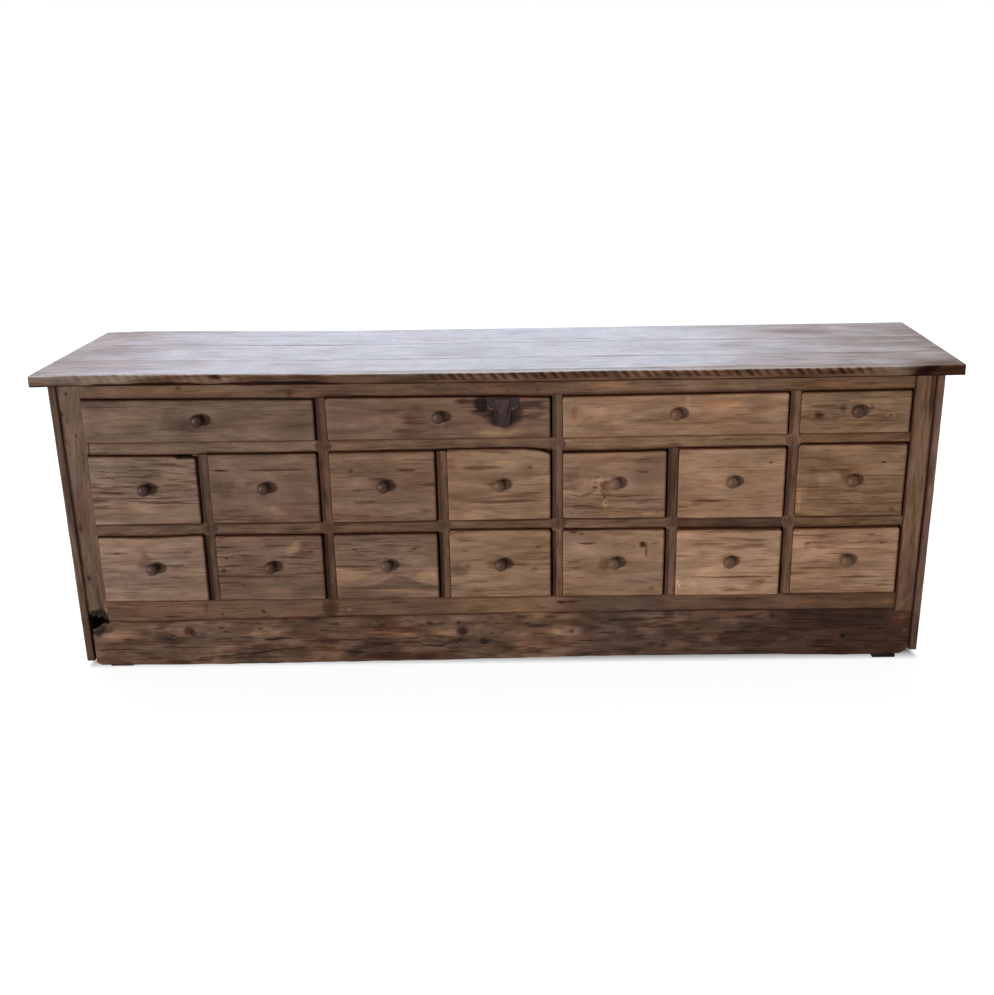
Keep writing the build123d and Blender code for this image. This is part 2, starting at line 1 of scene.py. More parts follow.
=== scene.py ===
"""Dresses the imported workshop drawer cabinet: worn boards, turned knobs, an iron plate, a plain stage."""

import math

import bmesh
import bpy
import numpy as np
from bpy.props import FloatProperty, FloatVectorProperty, PointerProperty
from mathutils import Matrix, Vector


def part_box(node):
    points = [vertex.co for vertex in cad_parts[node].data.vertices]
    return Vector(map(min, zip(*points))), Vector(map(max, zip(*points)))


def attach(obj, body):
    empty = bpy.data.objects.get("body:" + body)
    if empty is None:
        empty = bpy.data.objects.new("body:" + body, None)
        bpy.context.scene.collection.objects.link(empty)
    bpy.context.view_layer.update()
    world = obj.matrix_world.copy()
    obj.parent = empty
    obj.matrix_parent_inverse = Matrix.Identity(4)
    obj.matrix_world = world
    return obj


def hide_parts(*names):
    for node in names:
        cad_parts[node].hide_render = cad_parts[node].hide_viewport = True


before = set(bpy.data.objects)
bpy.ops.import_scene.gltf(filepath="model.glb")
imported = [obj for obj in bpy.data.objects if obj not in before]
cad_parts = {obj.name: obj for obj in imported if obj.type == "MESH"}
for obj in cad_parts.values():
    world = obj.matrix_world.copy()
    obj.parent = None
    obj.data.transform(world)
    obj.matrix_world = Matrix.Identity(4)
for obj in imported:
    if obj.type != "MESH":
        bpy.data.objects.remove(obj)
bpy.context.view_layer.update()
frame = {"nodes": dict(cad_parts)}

bl_info = {
    "name": "Workshop drawer cabinet",
    "version": (1, 0, 0),
    "blender": (4, 5, 0),
    "location": "View3D > Sidebar > Cabinet",
    "description": "Dresses a workshop cabinet of eighteen drawers in worn wood",
    "category": "Object",
}

MM = 0.001
ROWS = {"upper": 4, "middle": 7, "lower": 7}
DRAWERS = [(row, number) for row, count in ROWS.items() for number in range(1, count + 1)]

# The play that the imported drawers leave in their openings
GAP_LEFT = 1 * MM
GAP_RIGHT = 5 * MM
GAP_ABOVE = 3 * MM
GAP_BELOW = 1 * MM
SLIDE_CLEARANCE = 0.3 * MM

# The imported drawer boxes
FRONT_THICKNESS = 22 * MM
BOX_BOARD = 12 * MM
BOTTOM_RISE = 10 * MM
BOTTOM_THICKNESS = 8 * MM
SIDE_DROP = 2 * MM
BACK_DROP = 12 * MM
DOVETAIL_LENGTH = 14 * MM
DOVETAIL_PITCH = 34 * MM
DOVETAIL_ANGLE = math.radians(9)

# The ways that a board can lie: along its grain, across it and into the wood
X, Y, Z = np.eye(3)
FACING_FRONT = (X, Z, Y)
UPRIGHT_FRONT = (Z, X, Y)
FACING_UP = (X, Y, -Z)
LEFT_SIDE = (Z, Y, X)
RIGHT_SIDE = (Z, Y, -X)
FACING_BACK = (Z, X, -Y)

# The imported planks, plinth and back boards
PLANK_TONGUE = 7 * MM
TOP_CORNER_RADIUS = 14 * MM
WORN_CORNER = (26 * MM, 20 * MM)
CHIPPED_CORNER = (12 * MM, 7 * MM)
BACK_BOARD_COUNT = 12
BACK_BOARD_GAP = 1 * MM

# How deep a board's face reaches round its edges, and the colour factors of the painted shade inside cracks
# and holes, partly dirt
SKIN = 1 * MM
CRACK_DARK = (0.1, 0.07, 0.05)

# The wax over the nails of the top, and the bevel of the plain boards inside
WAX = 0.6 * MM
SAWN_BEVEL = 0.6 * MM

# How far from the middle of the grain's noise a piece can start, in metres
GRAIN_SPREAD = 9.0

# The photograph's camera: its place, and its turns in radians
CAMERA_PLACE = (0.0448, -3.218, 1.4745)
CAMERA_PITCH, CAMERA_YAW, CAMERA_ROLL = 0.326, -0.016, 0.0185
SENSOR_WIDTH = 36.0

# The floor, and the dark under the cabinet: from full to none, across and in depth
FLOOR_REACH = 40.0
FLOOR_GREY = 0.38
FLOOR_LIGHT = 0.88
DARK_ACROSS = (1.1, 1.118)
DARK_DEEP = (0.19, 0.25)


def linear(colour):
    """A colour written as 0 to 255, as light."""
    share = np.asarray(colour, dtype=float) / 255
    return np.where(share <= 0.04045, share / 12.92, ((share + 0.055) / 1.055) ** 2.4)


def limits(node):
    """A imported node's lowest and highest corner."""
    low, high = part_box(node)
    return np.array(low[:]), np.array(high[:])


def opening(row, number):
    """A drawer's opening in the frame, across and up."""
    low, high = limits(f"drawer_{row}_{number}")
    across = (low[0] - GAP_LEFT, high[0] + GAP_RIGHT)
    return across, (low[2] - SLIDE_CLEARANCE, high[2] + GAP_ABOVE)


COLUMNS = [opening("middle", number)[0] for number in range(1, 8)]
BAYS = [opening("upper", number)[0] for number in range(1, 5)]
UPRIGHTS = [(left[1], right[0]) for left, right in zip(COLUMNS, COLUMNS[1:])]
UPPER_ROW, MIDDLE_ROW, LOWER_ROW = (opening(row, 1)[1] for row in ROWS)
LOWER_RAIL = (LOWER_ROW[1], MIDDLE_ROW[0])
UPPER_RAIL = (MIDDLE_ROW[1], UPPER_ROW[0])
FACE = limits("stile_left")[0][1]
FRAME_DEPTH = limits("stile_left")[1][1] - FACE
TOP_UNDERSIDE = limits("stile_left")[1][2]
FRAME_BOTTOM = limits("stile_left")[0][2]

# Edges that have settled out of true: places across in metres, and how far up in millimetres
SETTLED = {
    "upper_ceiling": ((-1.04, 6), (-0.9, 4.5), (-0.7, 2.5), (-0.46, -1), (-0.42, 3), (-0.2, 1), (0.0, 0),
                      (0.13, -3.5), (0.17, -2.5), (0.45, -1), (0.73, 0), (0.77, 0), (1.03, 2)),
    "upper_floor": ((-1.04, 0), (0.13, 0), (0.17, -4), (0.35, -1), (1.03, 0)),
    "middle_ceiling": ((-1.04, 3), (-0.9, 1), (-0.77, 0), (-0.73, 3.5), (-0.46, 3.5), (-0.16, 5),
                       (-0.12, 7.5), (0.0, 8), (0.07, 7.5), (0.1, 4), (0.14, -1.5), (0.17, -2.5),
                       (0.35, -2.5), (0.43, 0), (0.46, 2), (0.73, 2), (0.77, 8), (1.03, 8.5)),
    "middle_floor": ((-1.04, -1), (-0.46, -1.5), (-0.42, -3.5), (-0.16, -1), (-0.12, -2.5), (0.13, -0.5),
                     (0.43, -1.5), (0.46, -3.5), (1.03, -3.5)),
    "lower_ceiling": ((-1.04, 0), (-0.9, -2), (-0.77, 2), (-0.73, 0), (-0.46, -1), (-0.16, 0), (-0.12, 7.5),
                      (0.13, 7), (0.17, 5), (0.43, 4), (0.46, 3), (0.6, 1.5), (0.73, 0), (1.03, 1)),
    "top": ((-1.15, 6), (-1.05, 8), (-0.87, 6.6), (-0.7, 4.4), (-0.5, 1.6), (-0.4, -0.2), (0.0, -2),
            (0.24, -0.6), (0.55, -2.4), (0.8, -1.8), (1.0, -0.6), (1.15, 1.2)),
    "plinth_foot": ((-1.09, -3), (-1.04, -4), (-0.85, -5), (-0.65, -4.5), (-0.45, -3), (-0.3, -1),
                    (-0.15, 0.5), (0.0, 3), (0.15, 5), (0.3, 6.5), (0.75, 6.5), (0.85, 3), (1.0, 2),
                    (1.05, 4)),
    "plinth_joint": ((-1.05, -3), (-0.96, -8), (-0.86, -8), (-0.72, -3), (-0.5, 0), (-0.2, 3.5), (0.0, 6),
                     (0.1, 7.5), (0.2, 6), (0.5, 8), (0.85, 7.5), (1.05, 5.5)),
}

# Side boards out of plumb: heights in metres, and how far out or in a board stands there in millimetres
LEFT_LEAN = ((0, 3), (0.78, 10))
RIGHT_LEAN = ((0, 4.5), (0.45, 0))


# Noise

def cell_value(column, row, seed):
    """A fixed number from 0 to 1 for each cell of a grid."""
    mixed = (column * 374761393 + row * 668265263 + seed * 974634777) & 0xFFFFFFFF
    mixed = ((mixed ^ (mixed >> 13)) * 1274126177) & 0xFFFFFFFF
    return ((mixed ^ (mixed >> 16)) & 0xFFFF) / 65535


def noise(x, y, seed):
    """Smooth noise from 0 to 1, with cells of size 1."""
    column, row = np.floor(x).astype(np.int64), np.floor(y).astype(np.int64)
    u, v = x - column, y - row
    u, v = u * u * (3 - 2 * u), v * v * (3 - 2 * v)
    low = cell_value(column, row, seed) * (1 - u) + cell_value(column + 1, row, seed) * u
    high = cell_value(column, row + 1, seed) * (1 - u) + cell_value(column + 1, row + 1, seed) * u
    return low * (1 - v) + high * v


def layered(x, y, seed, layers=3):
    """Noise from 0 to 1 with finer layers on it."""
    total, share, reach = 0.0, 0.5, 0.0
    for layer in range(layers):
        total = total + share * noise(x * 2**layer, y * 2**layer, seed + 17 * layer)
        reach += share
        share *= 0.5
    return total / reach


def ease(value, low, high):
    """0 below low, 1 above high, smooth between."""
    share = np.clip((value - low) / (high - low), 0, 1)
    return share * share * (3 - 2 * share)


def settled(edge, x):
    """How far up an edge of the frame has moved at the places x."""
    return np.interp(x, *zip(*SETTLED[edge])) * MM


def lean_left(z):
    """How far the left side board has spread outwards at the heights z."""
    return np.interp(z, *zip(*LEFT_LEAN)) * MM


def lean_right(z):
    """How far the right side board has been pushed inwards at the heights z."""
    return np.interp(z, *zip(*RIGHT_LEAN)) * MM


# Boards

def grid_lines(size, step, wear, extra):
    """Grid lines over a board, close together at its worn edges and where extra detail is."""
    inner = np.linspace(wear, size - wear, max(2, round((size - 2 * wear) / step) + 1))
    edges = [0, 0.4 * wear, size - 0.4 * wear, size]
    added = [place for place in extra if wear < place < size - wear]
    lines = np.unique(np.concatenate([inner, edges, added]))
    keep = np.concatenate([[True], np.diff(lines) > 0.0003])
    keep[-1] = True
    return lines[keep]


class Board:
    """A board while it is worked. Its own places run along the grain, across it and into the wood."""

    def __init__(self, way, corner, size, colour, seed, step=(0.004, 0.002), wear=0.0015, extra=((), ()),
                 depths=None):
        self.way, self.corner, self.size, self.seed = way, np.asarray(corner), size, seed
        along = grid_lines(size[0], step[0], wear, extra[0])
        across = grid_lines(size[1], step[1], wear, extra[1])
        rows, count = len(along), len(across)
        grid = np.arange(rows * count).reshape(rows, count)
        loop = np.concatenate([grid[:, 0], grid[-1, 1:], grid[-2::-1, -1], grid[0, -2:0:-1]])
        places = np.stack(np.meshgrid(along, across, indexing="ij"), -1).reshape(-1, 2)
        if depths is None:
            depths = [0.4 * wear, wear, size[2] / 2, size[2]]
        layers = [np.column_stack([places, np.zeros(len(places))])]
        layers += [np.column_stack([places[loop], np.full(len(loop), depth)]) for depth in depths]
        self.place = np.concatenate(layers)

        quads = [np.stack([grid[:-1, :-1], grid[1:, :-1], grid[1:, 1:], grid[:-1, 1:]], -1).reshape(-1, 4)]
        ring = loop
        for layer in range(len(depths)):
            deeper = len(places) + layer * len(loop) + np.arange(len(loop))
            quads.append(np.stack([ring, deeper, np.roll(deeper, -1), np.roll(ring, -1)], -1))
            ring = deeper
        self.quads, self.cap = np.concatenate(quads), ring[::-1]
        if np.dot(np.cross(way[0], way[1]), way[2]) > 0:
            self.quads, self.cap = self.quads[:, ::-1], self.cap[::-1]

        a, b, c = self.place.T
        radius = wear * (0.5 + noise(a / 0.03, b / 0.03 + c / 0.03, seed + 5))
        heart = np.stack([
            np.clip(a, radius, size[0] - radius), np.clip(b, radius, size[1] - radius), np.maximum(c, radius),
        ], -1)
        out = self.place - heart
        self.normal = out / np.linalg.norm(out, axis=1)[:, None]
        self.shape = heart + radius[:, None] * self.normal
        self.a, self.b, self.c = a, b, c
        self.on_face = c < SKIN
        self.flow = b + 0.8 * c
        self.front = np.clip(-self.normal[:, 2], 0, 1)
        self.tone = np.tile(linear(colour), (len(a), 1))
        self.polish = np.full(len(a), 0.5)

    def lift(self, height):
        self.shape += self.normal * np.asarray(height)[..., None]

    def shade(self, mask, colour):
        """Multiplies the tone by a colour, as the eye sees it, where the mask is 1."""
        self.tone *= np.maximum(1 - np.asarray(mask)[:, None] * (1 - np.asarray(colour)), 0) ** 2.2

    def trim(self, axis, end, reach, change):
        """Moves one edge of the outline by change, and what lies within reach of it by less."""
        value = self.place[:, axis]
        near = (value - (self.size[axis] - reach)) / reach if end else (reach - value) / reach
        self.shape[:, axis] += np.clip(near, 0, 1) * change

    def swirl(self, a, b, radius):
        """Makes the grain flow round a knot."""
        away = ((self.a - a) / (3 * radius)) ** 2 + ((self.b - b) / radius) ** 2
        side = np.tanh((self.b - b) / (0.6 * radius))
        self.flow = self.flow - side * radius * 0.75 * np.exp(-0.6 * away)

    def weather(self, depth, bands=0.1, zones=()):
        """Wears the soft grain away between the hard, and gives the board its bands of tone."""
        a, seed = self.a, self.seed
        wander = 0.008 * (noise(a / 0.3, self.flow / 0.07, seed + 1) - 0.5)
        flow = self.flow + wander
        fibre = layered(a / 0.07, flow / 0.0046, seed + 2)
        patchy = 0.35 + ease(noise(a / 0.22, flow / 0.03, seed + 3), 0.35, 0.8)
        share = self.b / self.size[1]
        for low, high, amount in zones:
            inside = ease(share, low - 0.08, low + 0.02) * (1 - ease(share, high - 0.02, high + 0.08))
            patchy = patchy + amount * inside
        groove = ease(fibre, 0.5, 0.16) * patchy
        hollow = layered(a / 0.18, self.b / 0.08, seed + 4, 2) - 0.5
        self.lift(0.0012 * hollow - depth * groove)
        self.shade(np.clip(0.5 * groove, 0, 0.9), (0.62, 0.55, 0.5))
        broad = layered(a / 0.22, flow / 0.014, seed + 6) - 0.5
        blotch = layered(a / 0.07, self.b / 0.035, seed + 7) - 0.5
        self.tone *= (1 + bands * (1.9 * broad + 2.4 * blotch))[:, None] ** 2.2
        warm = noise(a / 0.1, self.b / 0.04, seed + 8) - 0.5
        self.tone *= 1 + warm[:, None] * np.array([0.08, -0.02, -0.1])

    def age(self, worn=0.25, grime_and_shade=0.45, reach=0.005):
        """Pale worn corners, painted shade down the walls, and darkening beside the edges that is partly
        grime and partly painted shade.
        """
        size = self.size
        edge = np.minimum.reduce([self.a, size[0] - self.a, self.b, size[1] - self.b])
        rubbed = ease(noise(self.a / 0.05, self.b / 0.05, self.seed + 9), 0.3, 0.7)
        self.shade(worn * rubbed * ease(edge, 0.0035, 0.0012) * (self.c < 0.002), (1.3, 1.28, 1.22))
        # Beside the edges the darkening is partly grime and partly painted shade
        grime_and_shade_patches = layered(self.a / 0.06, self.b / 0.02, self.seed + 10, 2)
        self.shade(grime_and_shade * grime_and_shade_patches * ease(edge, reach, 0.0) * self.front, (0.6, 0.5, 0.44))
        # Painted shade down the walls
        self.shade(ease(self.c, 0.0012, 0.004), (0.78, 0.7, 0.66))

    def rim(self, axis, end, reach, colour):
        """A dark band along one edge of the face, ragged on its inner side: painted shade beside a gap or
        along a joint.
        """
        value = self.place[:, axis]
        away = self.size[axis] - value if end else value
        ragged = reach * (0.6 + 0.8 * layered(self.a / 0.03, self.b / 0.03, self.seed + 16, 2))
        self.shade(ease(away, 1.3 * ragged, 0.25 * ragged) * (self.c < 0.003), colour)

    def spot(self, a, b, reach_a, reach_b, slant=0.0, ragged=0.35, soft=0.6):
        """A soft patch with a ragged edge: 1 in its middle and 0 outside."""
        da, db = self.a - a, self.b - b - slant * (self.a - a)
        far = np.sqrt((da / reach_a) ** 2 + (db / reach_b) ** 2)
        rough = layered(self.a / (0.5 * reach_a), self.flow / (0.5 * reach_b), self.seed + 11, 2) - 0.5
        return ease(far + 2 * ragged * rough, 1.0, 1.0 - soft) * (self.c < 0.004)

    def stain(self, a, b, reach_a, reach_b, colour, slant=0.0, ragged=0.35, soft=0.6):
        self.shade(self.spot(a, b, reach_a, reach_b, slant, ragged, soft), colour)

    def stains(self, rows, left=0.0, bottom=0.0):
        """Stains whose places are metres along and millimetres across, and whose reaches are millimetres."""
        for place, rise, reach, high, colour, *slant in rows:
            self.stain(place - left, rise * MM - bottom, reach * MM, high * MM, colour, *slant)

    def tones(self, value, rows):
        """Tones along a value. Each row has the ranges in which it sets in or fades out, and its colour."""
        for *ranges, colour in rows:
            mask = np.ones(len(value))
            for empty, full in ranges:
                mask = mask * ease(value, empty, full)
            self.shade(mask, colour)

    def cut(self, points, width, depth, dark=0.85):
        """A crack or scratch along points, thinner towards its ends, with painted shade inside it."""
        points = np.asarray(points, dtype=float)
        nearest, share = np.full(len(self.a), 1.0), np.zeros(len(self.a))
        wobble = 0.6 * width * (noise(self.a / 0.012, self.a * 0, self.seed + 12) - 0.5)
        for number, (first, second) in enumerate(zip(points, points[1:])):
            step = second - first
            reach = np.dot(step, step)
            part = np.clip(((self.a - first[0]) * step[0] + (self.b - first[1]) * step[1]) / reach, 0, 1)
            away = np.hypot(self.a - first[0] - part * step[0], self.b + wobble - first[1] - part * step[1])
            closer = away < nearest
            nearest = np.where(closer, away, nearest)
            share = np.where(closer, (number + part) / (len(points) - 1), share)
        taper = 0.35 + 0.65 * np.sin(np.pi * np.clip(share, 0.02, 0.98))
        mask = ease(nearest, 0.75 * width * taper, 0.2 * width * taper) * self.on_face
        self.shape[:, 2] += depth * mask
        self.shade(dark * mask, CRACK_DARK)

    def hole(self, a, b, radius, depth=0.003, dark=0.95):
        away = np.hypot(self.a - a, self.b - b)
        mask = ease(away, radius, 0.5 * radius) * self.on_face
        self.shape[:, 2] += depth * mask
        # Painted shade inside the hole, partly dirt
        self.shade(dark * mask, CRACK_DARK)

    def knot(self, a, b, radius, dark=0.6):
        """A knot's dark heart with a ring round it."""
        away = np.hypot((self.a - a) / 1.25, self.b - b) / radius
        away = away + 0.25 * (layered(self.a / radius, self.b / radius, self.seed + 13, 2) - 0.5)
        on = self.on_face
        self.shade(dark * ease(away, 1.0, 0.45) * on, (0.35, 0.25, 0.2))
        self.shade(0.5 * dark * ease(np.abs(away - 1.15), 0.22, 0.04) * on, (0.4, 0.3, 0.25))
        self.lift(0.0005 * ease(away, 1.0, 0.3) * on)

    def dashes(self, count, zone, dark, seed, length=(0.012, 0.07), width=0.0014):
        """Short dark lines that follow the grain."""
        chance = np.random.default_rng(seed)
        for _ in range(count):
            a = chance.uniform(0.02, 0.98) * self.size[0]
            b = chance.uniform(*zone) * self.size[1]
            half = chance.uniform(*length) / 2
            thick = width * chance.uniform(0.6, 1.4)
            near = (np.abs(self.a - a) < half) & (np.abs(self.flow - b) < 3 * thick) & self.on_face
            taper = np.sqrt(np.clip(1 - ((self.a - a) / half) ** 2, 0, 1))
            bend = 0.002 * (noise(self.a / 0.04, self.a * 0 + b / 0.01, self.seed + 14) - 0.5)
            away = np.abs(self.flow + bend - b)
            mask = near * ease(away, 1.2 * thick * taper + 1e-6, 0.3 * thick * taper)
            self.shape[:, 2] += 0.0004 * mask
            self.shade(dark * chance.uniform(0.6, 1.0) * mask, (0.3, 0.24, 0.2))

    def finished(self):
        """The board's points in the shared frame, with its grain and tone."""
        turn = np.array(self.way)
        points = self.corner + self.shape @ turn
        shift = grain_shift(np.random.default_rng(self.seed))
        grain = np.column_stack([self.a, self.flow, self.c]) + shift
        tone = np.column_stack([np.clip(self.tone, 0.0, 1.0), self.polish])
        return points, grain, tone, self.quads, self.cap


def grain_shift(chance):
    """Where in the grain's noise a piece starts."""
    return chance.uniform(-GRAIN_SPREAD, GRAIN_SPREAD, 3)


def add_object(name, mesh, material, body, nodes):
    """Puts a mesh in the scene on its body, in place of the nodes that it stands for."""
    piece = bpy.data.objects.new(name, mesh)
    bpy.context.scene.collection.objects.link(piece)
    mesh.materials.append(material)
    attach(piece, body)
    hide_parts(*nodes)
    return piece


def write_attributes(mesh, grain, tone):
    mesh.attributes.new("grain", "FLOAT_VECTOR", "POINT").data.foreach_set("vector", grain.ravel())
    mesh.attributes.new("tone", "FLOAT_COLOR", "POINT").data.foreach_set("color", tone.ravel())


def boards_object(name, boards, material, body, nodes):
    """One object from finished boards."""
    points, grains, tones, faces = [], [], [], []
    count = 0
    for board in boards:
        place, grain, tone, quads, cap = board.finished()
        points.append(place)
        grains.append(grain)
        tones.append(tone)
        faces += (quads + count).tolist()
        faces.append((cap + count).tolist())
        count += len(place)
    mesh = bpy.data.meshes.new(name)
    mesh.from_pydata(np.concatenate(points).tolist(), [], faces)
    mesh.shade_smooth()
    mesh.set_sharp_from_angle(angle=math.radians(50))
    write_attributes(mesh, np.concatenate(grains), np.concatenate(tones))
    return add_object(name, mesh, material, body, nodes)


# Materials

class Paint:
    """A material, or the world, while its nodes are laid out."""

    def __init__(self, holder):
        holder.use_nodes = True
        self.holder, self.tree = holder, holder.node_tree
        self.tree.nodes.clear()

    def node(self, kind, inputs=(), **settings):
        node = self.tree.nodes.new("ShaderNode" + kind)
        for key, value in settings.items():
            setattr(node, key, value)
        for key, value in dict(inputs).items():
            if isinstance(value, bpy.types.NodeSocket):
                self.tree.links.new(value, node.inputs[key])
            else:
                node.inputs[key].default_value = value
        return node

    def math(self, operation, first, second=0.0):
        return self.node("Math", {0: first, 1: second}, operation=operation).outputs[0]

    def noise(self, vector, scale, detail=3.0, rough=0.55):
        """Noise with so many cells to a metre along each axis."""
        vector = self.node("VectorMath", {0: vector, 1: scale}, operation="MULTIPLY").outputs[0]
        inputs = {"Vector": vector, "Scale": 1.0, "Detail": detail, "Roughness": rough}
        return self.node("TexNoise", inputs).outputs["Fac"]

    def remap(self, value, low, high, to_low, to_high):
        inputs = {"Value": value, "From Min": low, "From Max": high, "To Min": to_low, "To Max": to_high}
        return self.node("MapRange", inputs).outputs["Result"]

    def product(self, *values):
        total = values[0]
        for value in values[1:]:
            total = self.math("MULTIPLY", total, value)
        return total

    def tinted(self, colour, factor):
        """A colour made darker and redder, or lighter and yellower, by a factor round 1."""
        green = self.math("POWER", factor, 1.08)
        blue = self.math("POWER", factor, 1.2)
        scale = self.node("CombineXYZ", {0: factor, 1: green, 2: blue}).outputs[0]
        return self.node("VectorMath", {0: colour, 1: scale}, operation="MULTIPLY").outputs[0]

    def bumped(self, height, strength, distance):
        inputs = {"Height": height, "Strength": strength, "Distance": distance}
        return self.node("Bump", inputs).outputs["Normal"]

    def seen(self):
        """1 where the surface is looked at, also in a mirror or through glass, and 0 where it only lights."""
        rays = self.node("LightPath").outputs
        mirrored = self.math("MAXIMUM", rays["Is Glossy Ray"], rays["Is Transmission Ray"])
        return self.math("MAXIMUM", rays["Is Camera Ray"], mirrored)

    def finished(self, shader, output="OutputMaterial"):
        self.tree.links.new(shader.outputs[0], self.node(output).inputs["Surface"])
        return self.holder


def wood(name, colour=None, axis=0, contrast=1.0, rough=0.6, gloss=0.15, relief=0.7, shine=0.12):
    """Aged wood. Worked boards bring their own grain and tone, and a plain node gets a colour and an axis."""
    paint = Paint(bpy.data.materials.new(name))
    if colour is None:
        grain = paint.node("Attribute", attribute_name="grain").outputs["Vector"]
        held = paint.node("Attribute", attribute_name="tone")
        tone, polish = held.outputs["Color"], held.outputs["Alpha"]
        mirror = paint.remap(polish, 0.0, 0.6, 0.1 * gloss, gloss)
    else:
        parts = paint.node("SeparateXYZ", {0: paint.node("TexCoord").outputs["Object"]}).outputs
        order = [axis] + [other for other in range(3) if other != axis]
        grain = paint.node("CombineXYZ", {i: parts[source] for i, source in enumerate(order)}).outputs[0]
        tone, polish, mirror = tuple(linear(colour)), 0.4, 0.7 * gloss

    def varied(value, low, high, fall, rise):
        """A factor round 1 from noise that runs from low to high."""
        return paint.remap(value, low, high, 1 - fall * contrast, 1 + rise * contrast)

    fibre = paint.noise(grain, (26, 440, 440), 4.0)
    contour = paint.math("MULTIPLY", paint.noise(grain, (2.2, 13, 13), 1.0), 60.0)
    specks = varied(paint.noise(grain, (50, 1300, 1300), 2.0), 0.60, 0.70, 0, -0.35)
    factor = paint.product(
        varied(paint.noise(grain, (3.4, 34, 34)), 0.3, 0.7, 0.14, 0.14),
        varied(fibre, 0.3, 0.7, 0.13, 0.12),
        varied(paint.math("SINE", contour), -1.0, 0.6, 0.1, 0.03),
        specks,
        varied(paint.noise(grain, (11, 26, 26), 5.0), 0.3, 0.7, 0.19, 0.19),
    )
    uneven = paint.remap(fibre, 0.3, 0.7, rough + 0.08, rough - 0.08)
    rubbed = paint.math("MULTIPLY", paint.math("SUBTRACT", polish, 0.5), 2 * shine)
    height = paint.math("ADD", paint.math("MULTIPLY", fibre, 0.8), paint.math("MULTIPLY", specks, 0.6))
    return paint.finished(paint.node("BsdfPrincipled", {
        "Base Color": paint.tinted(tone, factor),
        "Roughness": paint.math("SUBTRACT", uneven, rubbed),
        "Specular IOR Level": mirror,
        "Normal": paint.bumped(height, relief, 0.0006),
    }))


def iron(name, colour=None):
    """Dark iron, pitted and brown with old rust. Without a colour it takes the mesh's own tones."""
    paint = Paint(bpy.data.materials.new(name))
    if colour is None:
        tone = paint.node("Attribute", attribute_name="tone").outputs["Color"]
    else:
        tone = (*linear(colour), 1.0)
    place = paint.node("TexCoord").outputs["Object"]
    cloud = paint.noise(place, (90, 90, 90), 5.0)
    pits = paint.noise(place, (700, 700, 700), 3.0)
    rust = paint.remap(cloud, 0.48, 0.66, 0.0, 1.0)
    mixed = paint.node("Mix", {0: rust, 6: tone, 7: (*linear((50, 34, 32)), 1.0)}, data_type="RGBA")
    return paint.finished(paint.node("BsdfPrincipled", {
        "Base Color": paint.tinted(mixed.outputs[2], paint.remap(pits, 0.35, 0.65, 0.7, 1.25)),
        "Metallic": paint.remap(rust, 0.0, 1.0, 0.2, 0.05),
        "Roughness": paint.remap(rust, 0.0, 1.0, 0.55, 0.85),
        "Specular IOR Level": 0.25,
        "Normal": paint.bumped(paint.math("ADD", pits, cloud), 0.6, 0.0004),
    }))


WOODS = {
    "top board wax": dict(rough=0.5, gloss=0.5, relief=0.4, shine=0.2, contrast=0.7),
    "knob wood": dict(rough=0.5, gloss=0.2, relief=0.4, contrast=0.7),
    "worn board": {},
}


def shared_wood(name):
    """A wood that is made once and shared."""
    return bpy.data.materials.get(name) or wood(name, **WOODS[name])
